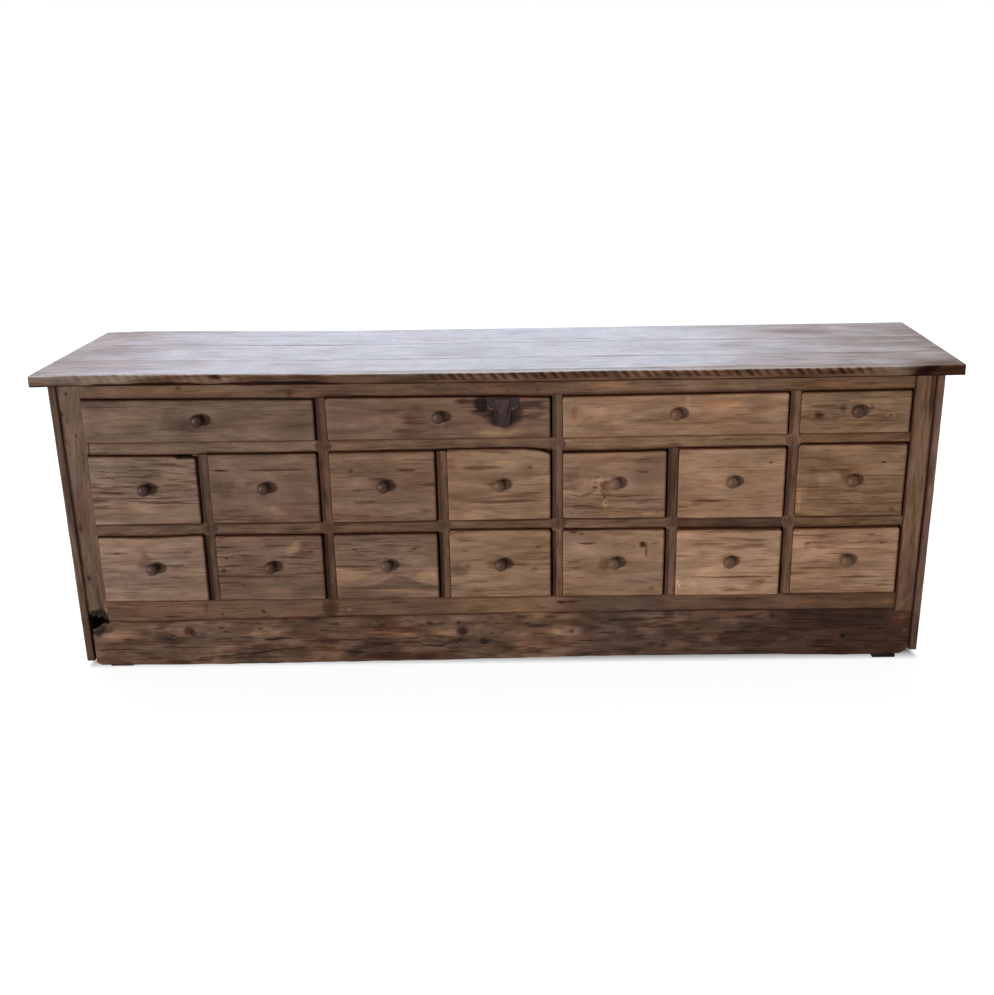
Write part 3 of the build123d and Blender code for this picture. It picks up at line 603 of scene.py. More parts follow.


# The drawers' fronts. Places are shares of the front's width and height, from its lower left corner, and
# reaches are millimetres. A stain is (across, up, reach, reach, colour factors, slant), a cut is
# (width, depth, points...), a knot, swirl or hole is (across, up, radius), a painted highlight (lit) is
# (across, up, radius), dashes are (count, from, to, dark) and a zone of ridges is (from, to, amount).
FRONTS = {
    "upper_1": dict(
        colour=(109, 89, 75), ridge=0.15,
        stains=[(0.42, 0.55, 60, 45, (0.86, 0.84, 0.84)), (0.2, 0.62, 45, 5, (1.12, 1.1, 1.08)),
                (0.12, 0.25, 60, 18, (1.08, 1.08, 1.08)), (0.85, 0.4, 70, 40, (0.97, 0.93, 0.92))],
        cuts=[(1.2, 0.4, (0.02, 0.86), (0.2, 0.84))], dashes=(8, 0.05, 0.95, 0.25)),
    "upper_2": dict(
        colour=(114, 89, 74), ridge=0.12,
        stains=[(0.51, 0.5, 17, 42, (1.22, 1.18, 1.14)), (0.4, 0.55, 40, 34, (0.88, 0.82, 0.8)),
                (0.7, 0.86, 27, 30, (0.32, 0.16, 0.22)), (0.79, 0.6, 56, 46, (0.34, 0.24, 0.28)),
                (0.79, 0.36, 50, 14, (0.7, 0.56, 0.6)),
                (0.62, 0.9, 34, 8, (0.6, 0.5, 0.5)), (0.7, 0.62, 44, 12, (0.62, 0.54, 0.54)),
                (0.9, 0.8, 52, 16, (0.62, 0.58, 0.58)), (0.92, 0.55, 40, 14, (0.78, 0.74, 0.74)),
                (0.78, 0.15, 80, 13, (1.14, 1.16, 1.03)), (0.2, 0.5, 80, 30, (0.97, 0.92, 0.92)),
                (0.36, 0.2, 60, 8, (0.82, 0.76, 0.76))],
        cuts=[(1.6, 0.6, (0.6, 0.76), (0.72, 0.74)), (1.6, 0.6, (0.63, 0.66), (0.74, 0.65)),
              (1.4, 0.6, (0.86, 0.72), (0.97, 0.7)), (1.2, 0.5, (0.85, 0.86), (0.95, 0.85))],
        dashes=(6, 0.05, 0.95, 0.25)),
    "upper_3": dict(
        colour=(141, 111, 88), ridge=0.2,
        stains=[(0.05, 0.6, 12, 30, (0.93, 0.84, 0.8)), (0.1, 0.4, 30, 9, (0.95, 0.88, 0.84), 0.5),
                (0.88, 0.62, 46, 14, (0.97, 0.87, 0.82), 0.2), (0.84, 0.35, 44, 12, (0.97, 0.9, 0.86), -0.1),
                (0.93, 0.8, 28, 7, (1.12, 1.04, 0.98), 0.2), (0.7, 0.75, 60, 16, (1.12, 1.04, 0.96)),
                (0.55, 0.85, 8, 20, (1.15, 1.12, 1.08)), (0.35, 0.7, 60, 10, (0.94, 0.88, 0.84))],
        dashes=(14, 0.05, 0.95, 0.3)),
    "upper_4": dict(
        colour=(123, 98, 76), ridge=0.25,
        stains=[(0.16, 0.44, 12, 12, (0.78, 0.66, 0.56)), (0.82, 0.42, 16, 10, (1.2, 1.16, 1.1)),
                (0.38, 0.6, 10, 14, (0.7, 0.66, 0.62)), (0.64, 0.62, 8, 12, (0.74, 0.7, 0.66)),
                (0.5, 0.75, 40, 8, (1.1, 1.08, 1.02)), (0.5, 0.2, 60, 12, (1.1, 1.06, 1.02))],
        cuts=[(1.4, 0.8, (0.5, 0.86), (0.95, 0.84)), (1.2, 0.5, (0.3, 0.6), (0.46, 0.6)),
              (1.2, 0.5, (0.56, 0.62), (0.86, 0.5)), (1.0, 0.4, (0.05, 0.55), (0.2, 0.53))],
        knots=[(0.82, 0.42, 4), (0.16, 0.44, 7)], dashes=(16, 0.1, 0.95, 0.35)),
    "middle_1": dict(
        colour=(129, 106, 91), ridge=0.35, zones=[(0.32, 0.95, 0.9)],
        stains=[(0.35, 0.22, 90, 13, (1.16, 1.12, 1.06)), (0.1, 0.12, 50, 14, (1.08, 1.04, 1.0)),
                (0.2, 0.9, 60, 8, (1.08, 1.05, 1.05)), (0.88, 0.55, 30, 26, (0.93, 0.9, 0.9))],
        cuts=[(1.8, 1.0, (0.56, 0.3), (0.76, 0.31), (0.995, 0.3)), (1.4, 0.8, (0.08, 0.79), (0.2, 0.78)),
              (1.2, 0.6, (0.45, 0.8), (0.75, 0.79)), (1.2, 0.6, (0.05, 0.47), (0.3, 0.46)),
              (1.0, 0.6, (0.3, 0.34), (0.42, 0.34))],
        corner=(0.8, 1.0, -5.0), dashes=(60, 0.3, 0.95, 0.5)),
    "middle_2": dict(
        colour=(118, 94, 79), ridge=0.2,
        stains=[(0.28, 0.6, 26, 15, (1.17, 1.14, 1.1), 0.3), (0.6, 0.17, 32, 17, (1.2, 1.14, 1.12), -0.35),
                (0.1, 0.5, 34, 26, (0.84, 0.84, 0.84)), (0.1, 0.78, 28, 4, (0.6, 0.52, 0.48)),
                (0.62, 0.78, 95, 4, (0.72, 0.64, 0.6)), (0.6, 0.9, 100, 8, (1.1, 1.06, 1.02)),
                (0.2, 0.15, 50, 20, (0.93, 0.88, 0.9)), (0.8, 0.45, 40, 25, (0.95, 0.9, 0.9))],
        cuts=[(1.4, 0.6, (0.02, 0.78), (0.1, 0.785), (0.18, 0.77)), (1.0, 0.4, (0.36, 0.78), (0.8, 0.77))],
        dashes=(12, 0.05, 0.95, 0.3)),
    "middle_3": dict(
        colour=(121, 95, 78), ridge=0.2,
        stains=[(0.2, 0.75, 9, 4, (0.66, 0.6, 0.55)), (0.72, 0.75, 34, 4, (0.72, 0.62, 0.56)),
                (0.32, 0.28, 40, 5, (0.78, 0.7, 0.64)), (0.7, 0.62, 60, 14, (1.1, 1.05, 1.0)),
                (0.2, 0.15, 60, 24, (1.0, 0.93, 0.92)), (0.9, 0.15, 24, 5, (0.8, 0.78, 0.74)),
                (0.42, 0.9, 90, 8, (1.08, 1.05, 1.02))],
        dashes=(18, 0.1, 0.95, 0.35)),
    "middle_4": dict(
        colour=(139, 111, 89), ridge=0.18,
        stains=[(0.3, 0.77, 70, 5, (0.72, 0.64, 0.58)), (0.8, 0.77, 8, 4, (0.6, 0.54, 0.5)),
                (0.55, 0.27, 120, 5, (0.72, 0.63, 0.56), 0.01), (0.6, 0.84, 60, 6, (1.16, 1.12, 1.02)),
                (0.3, 0.12, 60, 10, (1.1, 1.05, 0.98)), (0.05, 0.8, 14, 20, (1.0, 0.88, 0.84)),
                (0.45, 0.5, 22, 22, (0.88, 0.84, 0.8))],
        cuts=[(1.2, 0.6, (0.0, 0.975), (0.3, 0.97), (0.6, 0.955))],
        round_corner=(34, 11), dashes=(12, 0.1, 0.9, 0.3)),
    "middle_5": dict(
        colour=(139, 110, 89), ridge=0.3, zones=[(0.08, 0.42, 0.6)],
        stains=[(0.1, 0.6, 30, 40, (0.9, 0.86, 0.84)), (0.5, 0.82, 26, 3, (1.2, 1.14, 1.04)),
                (0.41, 0.24, 9, 30, (1.3, 1.26, 1.16), 0.4), (0.36, 0.52, 12, 14, (1.28, 1.24, 1.14)),
                (0.42, 0.42, 14, 30, (0.84, 0.78, 0.72)), (0.31, 0.46, 8, 6, (0.66, 0.58, 0.52)),
                (0.83, 0.06, 20, 6, (1.3, 1.26, 1.16)), (0.78, 0.68, 22, 6, (0.84, 0.72, 0.62)),
                (0.36, 0.62, 10, 18, (1.1, 1.06, 1.0))],
        cuts=[(1.8, 1.2, (0.06, 0.36), (0.16, 0.33), (0.24, 0.35), (0.31, 0.42), (0.34, 0.5)),
              (1.6, 1.0, (0.3, 0.62), (0.33, 0.6), (0.36, 0.63)),
              (1.6, 1.0, (0.36, 0.42), (0.4, 0.34), (0.42, 0.2)), (1.4, 1.0, (0.46, 0.36), (0.47, 0.24)),
              (1.2, 0.7, (0.1, 0.2), (0.3, 0.18)), (1.2, 0.7, (0.55, 0.15), (0.72, 0.14))],
        knots=[(0.37, 0.5, 6)], swirls=[(0.42, 0.46, 34)], lowered=2.5, dashes=(26, 0.06, 0.42, 0.45)),
    "middle_6": dict(
        colour=(150, 119, 95), ridge=0.2, proud=3,
        stains=[(0.6, 0.71, 110, 3, (1.22, 1.14, 1.02)), (0.3, 0.25, 60, 4, (0.76, 0.64, 0.54)),
                (0.86, 0.8, 8, 4, (0.66, 0.56, 0.48)), (0.5, 0.85, 90, 10, (1.06, 1.0, 0.94)),
                (0.3, 0.45, 30, 20, (1.05, 0.96, 0.92)), (0.12, 0.22, 14, 12, (1.16, 1.1, 1.04))],
        cuts=[(1.0, 0.4, (0.1, 0.235), (0.55, 0.24))], dashes=(20, 0.1, 0.9, 0.28)),
    "middle_7": dict(
        colour=(129, 101, 78), ridge=0.2, zones=[(0.05, 0.26, 0.5)],
        stains=[(0.79, 0.77, 8, 3, (0.55, 0.46, 0.4)), (0.15, 0.5, 20, 60, (0.93, 0.9, 0.86)),
                (0.55, 0.7, 60, 14, (1.1, 1.04, 0.96)), (0.03, 0.25, 6, 40, (1.2, 1.16, 1.08)),
                (0.45, 0.6, 26, 20, (0.86, 0.82, 0.76)), (0.9, 0.09, 12, 6, (0.78, 0.72, 0.64))],
        cuts=[(1.2, 0.6, (0.05, 0.235), (0.6, 0.22)), (1.0, 0.5, (0.2, 0.175), (0.9, 0.17)),
              (1.2, 0.6, (0.75, 0.79), (0.83, 0.76)), (1.4, 0.7, (0.8, 0.985), (1.0, 0.98))],
        dashes=(24, 0.05, 0.3, 0.35)),
    "lower_1": dict(
        colour=(142, 117, 101), ridge=0.22,
        stains=[(0.15, 0.75, 12, 4, (0.74, 0.68, 0.66)), (0.84, 0.76, 16, 4, (0.78, 0.7, 0.68)),
                (0.42, 0.62, 26, 30, (0.84, 0.8, 0.8)), (0.9, 0.4, 26, 60, (1.02, 1.02, 0.94)),
                (0.25, 0.55, 60, 16, (1.08, 1.06, 1.04)), (0.2, 0.22, 12, 3, (0.76, 0.7, 0.68))],
        cuts=[(1.8, 0.9, (0.6, 0.56), (0.7, 0.555), (0.8, 0.56)),
              (1.8, 0.9, (0.64, 0.38), (0.72, 0.365), (0.8, 0.35))],
        dashes=(16, 0.08, 0.95, 0.3)),
    "lower_2": dict(
        colour=(117, 93, 78), ridge=0.3, zones=[(0.3, 0.95, 0.55)],
        stains=[(0.74, 0.82, 26, 24, (1.34, 1.3, 1.2), 0.5), (0.88, 0.75, 12, 4, (0.7, 0.6, 0.55)),
                (0.05, 0.47, 6, 10, (0.6, 0.56, 0.54)), (0.25, 0.6, 60, 30, (0.92, 0.88, 0.85)),
                (0.92, 0.85, 26, 14, (1.08, 1.04, 1.0)), (0.6, 0.15, 90, 12, (1.05, 1.0, 0.98))],
        cuts=[(1.8, 1.0, (0.02, 0.97), (0.1, 0.975)), (1.3, 0.7, (0.08, 0.75), (0.22, 0.76)),
              (1.4, 0.8, (0.12, 0.68), (0.3, 0.64)), (1.2, 0.6, (0.35, 0.37), (0.8, 0.36)),
              (1.2, 0.7, (0.23, 0.28), (0.225, 0.2))],
        holes=[(0.087, 0.66, 4.2)], dashes=(44, 0.3, 0.95, 0.45)),
    "lower_3": dict(
        colour=(120, 96, 80), ridge=0.3, zones=[(0.5, 0.97, 0.6)],
        stains=[(0.19, 0.77, 9, 3, (0.6, 0.52, 0.46)), (0.77, 0.77, 9, 4, (0.6, 0.52, 0.46)),
                (0.15, 0.35, 40, 16, (1.16, 1.12, 1.04)), (0.88, 0.37, 36, 16, (1.2, 1.16, 1.06), 0.1),
                (0.5, 0.13, 130, 2.6, (1.22, 1.17, 1.08))],
        cuts=[(1.0, 0.3, (0.25, 0.59), (0.45, 0.6))], figure=True, dashes=(34, 0.5, 0.95, 0.4)),
    "lower_4": dict(
        colour=(144, 116, 93), ridge=0.15,
        stains=[(0.1, 0.42, 32, 26, (0.78, 0.74, 0.7)), (0.8, 0.8, 50, 22, (1.08, 1.03, 0.98)),
                (0.83, 0.43, 14, 5, (0.84, 0.68, 0.6)), (0.87, 0.77, 12, 3, (0.72, 0.64, 0.58)),
                (0.14, 0.73, 10, 4, (0.84, 0.76, 0.7)), (0.42, 0.5, 18, 18, (0.84, 0.8, 0.78))],
        cuts=[(1.2, 0.5, (0.03, 0.9), (0.03, 0.97), (0.2, 0.985))], dashes=(14, 0.08, 0.9, 0.25)),
    "lower_5": dict(
        colour=(142, 114, 93), ridge=0.2,
        stains=[(0.79, 0.79, 13, 10, (0.6, 0.5, 0.44)), (0.82, 0.68, 5, 18, (0.78, 0.66, 0.58), 0.0),
                (0.25, 0.81, 26, 4, (0.7, 0.6, 0.54)), (0.1, 0.97, 12, 4, (0.6, 0.48, 0.42)),
                (0.18, 0.945, 7, 3, (0.66, 0.54, 0.48)), (0.88, 0.11, 12, 8, (0.82, 0.82, 0.72)),
                (0.1, 0.54, 24, 4, (0.84, 0.78, 0.72)), (0.42, 0.5, 22, 22, (0.84, 0.78, 0.74))],
        cuts=[(1.6, 0.7, (0.13, 0.82), (0.22, 0.815), (0.34, 0.82)), (1.2, 0.5, (0.86, 0.8), (0.97, 0.79))],
        knots=[(0.79, 0.79, 6)], swirls=[(0.79, 0.79, 12)], lit=[(0.775, 0.795, 1.8)],
        dashes=(18, 0.08, 0.95, 0.3)),
    "lower_6": dict(
        colour=(169, 135, 110), ridge=0.15, proud=4,
        stains=[(0.3, 0.79, 56, 4, (0.82, 0.7, 0.62)), (0.75, 0.78, 60, 3, (0.86, 0.76, 0.68)),
                (0.55, 0.28, 120, 3.5, (0.76, 0.66, 0.58)), (0.78, 0.17, 34, 14, (0.88, 0.78, 0.72), 0.4),
                (0.5, 0.97, 120, 4, (0.82, 0.74, 0.68)), (0.2, 0.86, 18, 6, (1.1, 1.1, 1.06)),
                (0.5, 0.55, 80, 24, (1.05, 1.0, 0.96))],
        cuts=[(1.0, 0.4, (0.15, 0.3), (0.4, 0.285), (0.95, 0.28))],
        lit=[(0.02, 0.22, 3.2), (0.035, 0.155, 2.8), (0.015, 0.26, 1.6)], dashes=(14, 0.08, 0.9, 0.22)),
    "lower_7": dict(
        colour=(151, 119, 96), ridge=0.32, zones=[(0.5, 0.97, 0.5)],
        stains=[(0.13, 0.77, 10, 3, (0.62, 0.52, 0.44)), (0.84, 0.77, 10, 3, (0.62, 0.52, 0.44)),
                (0.72, 0.9, 14, 3, (0.95, 0.76, 0.62)), (0.2, 0.4, 70, 4, (0.78, 0.68, 0.6)),
                (0.6, 0.25, 90, 3, (0.8, 0.72, 0.64)), (0.5, 0.33, 100, 8, (1.08, 1.04, 1.0)),
                (0.9, 0.12, 40, 3, (0.74, 0.66, 0.58))],
        cuts=[(1.2, 0.6, (0.3, 0.62), (0.5, 0.615)), (1.2, 0.6, (0.35, 0.7), (0.7, 0.69)),
              (1.0, 0.5, (0.6, 0.15), (0.9, 0.14))],
        dashes=(40, 0.45, 0.97, 0.36)),
}


def front_board(row, number):
    """The worn front of one drawer."""
    name = f"{row}_{number}"
    look = FRONTS[name]
    low, high = limits(f"drawer_{name}")
    bottom = low[2] - SLIDE_CLEARANCE + GAP_BELOW
    width, height = high[0] - low[0], high[2] - bottom
    proud = look.get("proud", 0) * MM
    rises = [point[1] * height for cut in look.get("cuts", ()) for point in cut[2:]]
    lines = [rise + shift for rise in rises for shift in (-1 * MM, 0.0, 1 * MM)]
    knots = look.get("knots", ())
    seed = 100 + 10 * DRAWERS.index((row, number))
    size = (width, height, FRONT_THICKNESS + proud)
    board = Board(
        FACING_FRONT, (low[0], low[1] - proud, bottom), size, look["colour"], seed, step=(0.0036, 0.0019),
        wear=0.002, extra=((), lines),
    )
    for u, v, radius in list(look.get("swirls", ())) + [(u, v, 2 * r) for u, v, r in knots]:
        board.swirl(u * width, v * height, radius * MM)
    board.weather(look["ridge"] * MM, 0.1, look.get("zones", ()))
    count, zone_low, zone_high, dark = look["dashes"]
    board.dashes(count, (zone_low, zone_high), dark, seed + 1)
    for u, v, reach_u, reach_v, colour, *slant in look["stains"]:
        muted = 0.65 * np.array(colour) + 0.35 * np.mean(colour)
        board.stain(u * width, v * height, reach_u * MM, reach_v * MM, muted, *slant)
    for u, v, radius in knots:
        board.knot(u * width, v * height, radius * MM)
    for u, v, radius in look.get("holes", ()):
        board.hole(u * width, v * height, radius * MM)
    # Painted highlights
    for u, v, radius in look.get("lit", ()):
        board.stain(u * width, v * height, radius * MM, 1.3 * radius * MM, (1.5, 1.5, 1.5), ragged=0.5)
    if look.get("figure"):
        show_figure(board, width, height)
    for thick, depth, *points in look.get("cuts", ()):
        board.cut([(u * width, v * height) for u, v in points], thick * MM, depth * MM)
    knob_low, knob_high = limits(f"knob_{name}")
    knob_a = (knob_low[0] + knob_high[0]) / 2 - low[0]
    knob_b = (knob_low[2] + knob_high[2]) / 2 - bottom
    # Painted shadow of the knob, falling to its right on the front
    board.stain(knob_a + 0.002, knob_b, 0.024, 0.024, (0.86, 0.82, 0.8), ragged=0.2, soft=0.8)
    board.stain(knob_a + 0.005, knob_b + 0.001, 0.0155, 0.0155, (0.62, 0.54, 0.5), ragged=0.15, soft=0.5)
    board.age(grime_and_shade=0.3, reach=0.004)
    # Painted shade along the right, upper and lower edges, beside the gaps round the drawer
    board.rim(0, 1, 0.004, (0.72, 0.63, 0.57))
    board.rim(1, 1, 0.0035, (0.68, 0.58, 0.52))
    board.rim(1, 0, 0.0025, (0.8, 0.73, 0.68))
    board.trim(0, 0, 0.03, -0.7 * MM)
    wavy = noise(board.a / 0.08, board.a * 0, seed + 3) - 0.5
    board.trim(1, 1, 0.05, 0.0008 * wavy + settled(f"{row}_ceiling", board.a + low[0]))
    if row != "lower":
        board.trim(1, 0, 0.05, settled(f"{row}_floor", board.a + low[0]))
    if "lowered" in look:
        board.trim(1, 1, 0.05, -look["lowered"] * MM * np.ones(len(board.a)))
    if "corner" in look:
        start, end, drop = look["corner"]
        board.trim(1, 1, 0.04, drop * MM * ease(board.a / width, start, start + 0.04))
    for away, (across, down) in ((board.a, (5, 5)), (width - board.a, look.get("round_corner", (5, 5)))):
        past = np.clip(1 - away / (across * MM), 0, 1)
        board.trim(1, 1, 2 * down * MM, -down * MM * (1 - np.sqrt(1 - past**2)))
    return board


def show_figure(board, width, height):
    """The pale grain figure like a hill on the third drawer of the lower row."""
    u, v = board.a / width, board.b / height
    hill = 0.16 + 0.2 * np.exp(-(((u - 0.6) / 0.2) ** 2)) + 0.02 * np.sin(9 * u)
    ripple = 0.02 * (noise(u * 9, v * 3, board.seed + 15) - 0.5)
    on = board.on_face
    under = ease(v + ripple, hill + 0.03, hill - 0.03) * ease(v, 0.1, 0.2) * on
    pale = ease(v + ripple, hill, hill + 0.06) * ease(v, 0.49, 0.45) * on
    board.shade(under, (0.84, 0.84, 0.84))
    board.shade(pale, (1.14, 1.13, 1.12))
    for away, reach, core, colour in (
        (v + ripple - hill - 0.03, 0.025, 0.005, (1.08, 1.08, 1.07)),
        (v + 0.3 * ripple - 0.465, 0.018, 0.003, (1.2, 1.18, 1.15)),
        (v - 0.11 - 0.03 * np.sin(3 * u + 1), 0.018, 0.004, (1.14, 1.12, 1.08)),
    ):
        board.shade(ease(np.abs(away), reach, core) * on, colour)


# Operators

def colour_choice(name, description, default):
    """A colour on the panel."""
    return FloatVectorProperty(
        name=name, description=description, subtype="COLOR_GAMMA", size=3, min=0, max=1, default=default,
    )


def length_choice(name, description, default, **ends):
    """A length on the panel."""
    return FloatProperty(
        name=name, description=description, unit="LENGTH", subtype="DISTANCE", default=default, **ends,
    )


class CabinetColours(bpy.types.PropertyGroup):
    """Colours that a user would change."""

    frame: colour_choice("Frame", "Middle tone of the face frame", (0.44, 0.34, 0.278))
    # The top's tone is paler and greyer than its wood: painted sheen
    top: colour_choice("Top", "Middle tone of the top planks", (0.58, 0.525, 0.508))
    side: colour_choice("Sides", "Middle tone of the side boards", (0.36, 0.30, 0.265))
    plinth: colour_choice("Plinth", "Middle tone of the plinth", (0.42, 0.335, 0.28))
    inner: colour_choice("Inside", "Wood inside the cabinet", (0.47, 0.37, 0.28))
    knob: colour_choice("Knobs", "Wood of the knobs", (0.37, 0.28, 0.22))
    iron: colour_choice("Iron", "Lock plate and nails", (0.17, 0.135, 0.13))


class CabinetShapes(bpy.types.PropertyGroup):
    """Sizes that a user would change."""

    frame_ridges: length_choice(
        "Frame ridges", "Depth of the worn grain on the frame", 0.25 * MM, min=0,
    )
    frame_wear: length_choice(
        "Frame wear", "Radius of the worn edges of the frame", 0.8 * MM, min=0.2 * MM,
    )
    nick_pitch: length_choice(
        "Nick pitch", "Distance between the nicks along the top's front edge", 25 * MM, min=5 * MM,
    )
    diamond_reach: length_choice(
        "Crossing reach", "How far an upright widens at a rail", 8 * MM, min=0, max=20 * MM,
    )


class CabinetStage(bpy.types.PropertyGroup):
    """Light and camera."""

    key_strength: FloatProperty(
        name="Key light", description="Strength of the soft light from the left", default=3.0, min=0,
    )
    sky_strength: FloatProperty(
        name="Sky light", description="Strength of the soft light on the top", default=1.8, min=0,
    )
    window_power: FloatProperty(
        name="Window", description="Power of the cool light that the top mirrors", default=52.0, min=0,
        unit="POWER",
    )
    fill_strength: FloatProperty(
        name="Fill", description="Strength of the even light from all round", default=0.32, min=0,
    )
    lens: FloatProperty(
        name="Lens", description="Focal length of the camera in millimetres", default=44.29, min=10,
    )


def shade_of(name):
    """A colour of the panel, as 0 to 255."""
    return tuple(255 * c for c in getattr(bpy.context.scene.cabinet_colours, name))


def toned(name, *factors):
    """A panel colour with its three channels scaled."""
    return tuple(c * f for c, f in zip(shade_of(name), factors))


class CABINET_OT_stage(bpy.types.Operator):
    """Adds the floor, the light and the camera"""

    bl_idname = "cabinet.stage"
    bl_label = "Stage"

    def execute(self, context):
        stage = context.scene.cabinet_stage
        context.scene.view_settings.view_transform = "Standard"
        self.add_camera(context.scene, stage.lens)

        world = bpy.data.worlds.new("studio")
        context.scene.world = world
        sky = Paint(world)
        strength = sky.remap(sky.seen(), 0.0, 1.0, stage.fill_strength, 1.0)
        sky.finished(sky.node("Background", {"Color": (1, 1, 1, 1), "Strength": strength}), "OutputWorld")

        def light(name, kind, heading, **settings):
            data = bpy.data.lights.new(name, kind)
            for key, value in settings.items():
                setattr(data, key, value)
            item = bpy.data.objects.new(name, data)
            item.rotation_euler = Vector(heading).to_track_quat("-Z", "Y").to_euler()
            context.scene.collection.objects.link(item)
            return item

        light("key", "SUN", (0.62, 0.78, -0.03), energy=stage.key_strength, angle=math.radians(9),
              color=(1.0, 0.96, 0.91))
        light("sky", "SUN", (0.1, -0.5, -0.85), energy=stage.sky_strength, angle=math.radians(40),
              color=(0.9, 0.95, 1.0))
        window = light("window", "AREA", (0.2, -5.0, -1.15), shape="RECTANGLE", size=6.6, size_y=1.5,
                       energy=stage.window_power, color=(0.56, 0.7, 1.0))
        window.location = (-0.3, 5.0, 1.95)
        window.visible_camera = False
        self.add_floor(context.scene)
        return {"FINISHED"}

    def add_camera(self, scene, lens):
        camera = bpy.data.cameras.new("camera")
        camera.lens, camera.sensor_width = lens, SENSOR_WIDTH
        camera.clip_start, camera.clip_end = 0.05, 100
        viewer = bpy.data.objects.new("camera", camera)
        scene.collection.objects.link(viewer)
        level_share, drop = math.cos(CAMERA_PITCH), math.sin(CAMERA_PITCH)
        ahead = Vector((math.sin(CAMERA_YAW) * level_share, math.cos(CAMERA_YAW) * level_share, -drop))
        level = Vector((math.cos(CAMERA_YAW), -math.sin(CAMERA_YAW), 0))
        down = ahead.cross(level)
        right = math.cos(CAMERA_ROLL) * level + math.sin(CAMERA_ROLL) * down
        below = -math.sin(CAMERA_ROLL) * level + math.cos(CAMERA_ROLL) * down
        turn = Matrix((right, -below, -ahead)).transposed().to_4x4()
        viewer.matrix_world = Matrix.Translation(CAMERA_PLACE) @ turn
        scene.camera = viewer

    def add_floor(self, scene):
        """A white floor that keeps the cabinet's shadow, and is in the dark under it."""
        floor = bpy.data.meshes.new("floor")
        corners = [(x * FLOOR_REACH, y * FLOOR_REACH, 0) for x, y in ((-1, -1), (1, -1), (1, 1), (-1, 1))]
        floor.from_pydata(corners, [], [(0, 1, 2, 3)])
        sheet = bpy.data.objects.new("floor", floor)
        scene.collection.objects.link(sheet)
        paint = Paint(bpy.data.materials.new("pale floor"))
        parts = paint.node("SeparateXYZ", {0: paint.node("TexCoord").outputs["Object"]}).outputs
        beside = paint.remap(paint.math("ABSOLUTE", parts[0]), *DARK_ACROSS, 0.0, 1.0)
        before = paint.remap(paint.math("ABSOLUTE", parts[1]), *DARK_DEEP, 0.0, 1.0)
        outside = paint.math("MAXIMUM", beside, before)
        floor.materials.append(paint.finished(paint.node("BsdfPrincipled", {
            "Base Color": (FLOOR_GREY, FLOOR_GREY, FLOOR_GREY, 1.0),
            "Roughness": 0.9,
            "Specular IOR Level": 0.0,
            "Emission Color": (1, 1, 1, 1),
            "Emission Strength": paint.product(paint.seen(), outside, FLOOR_LIGHT),
        })))


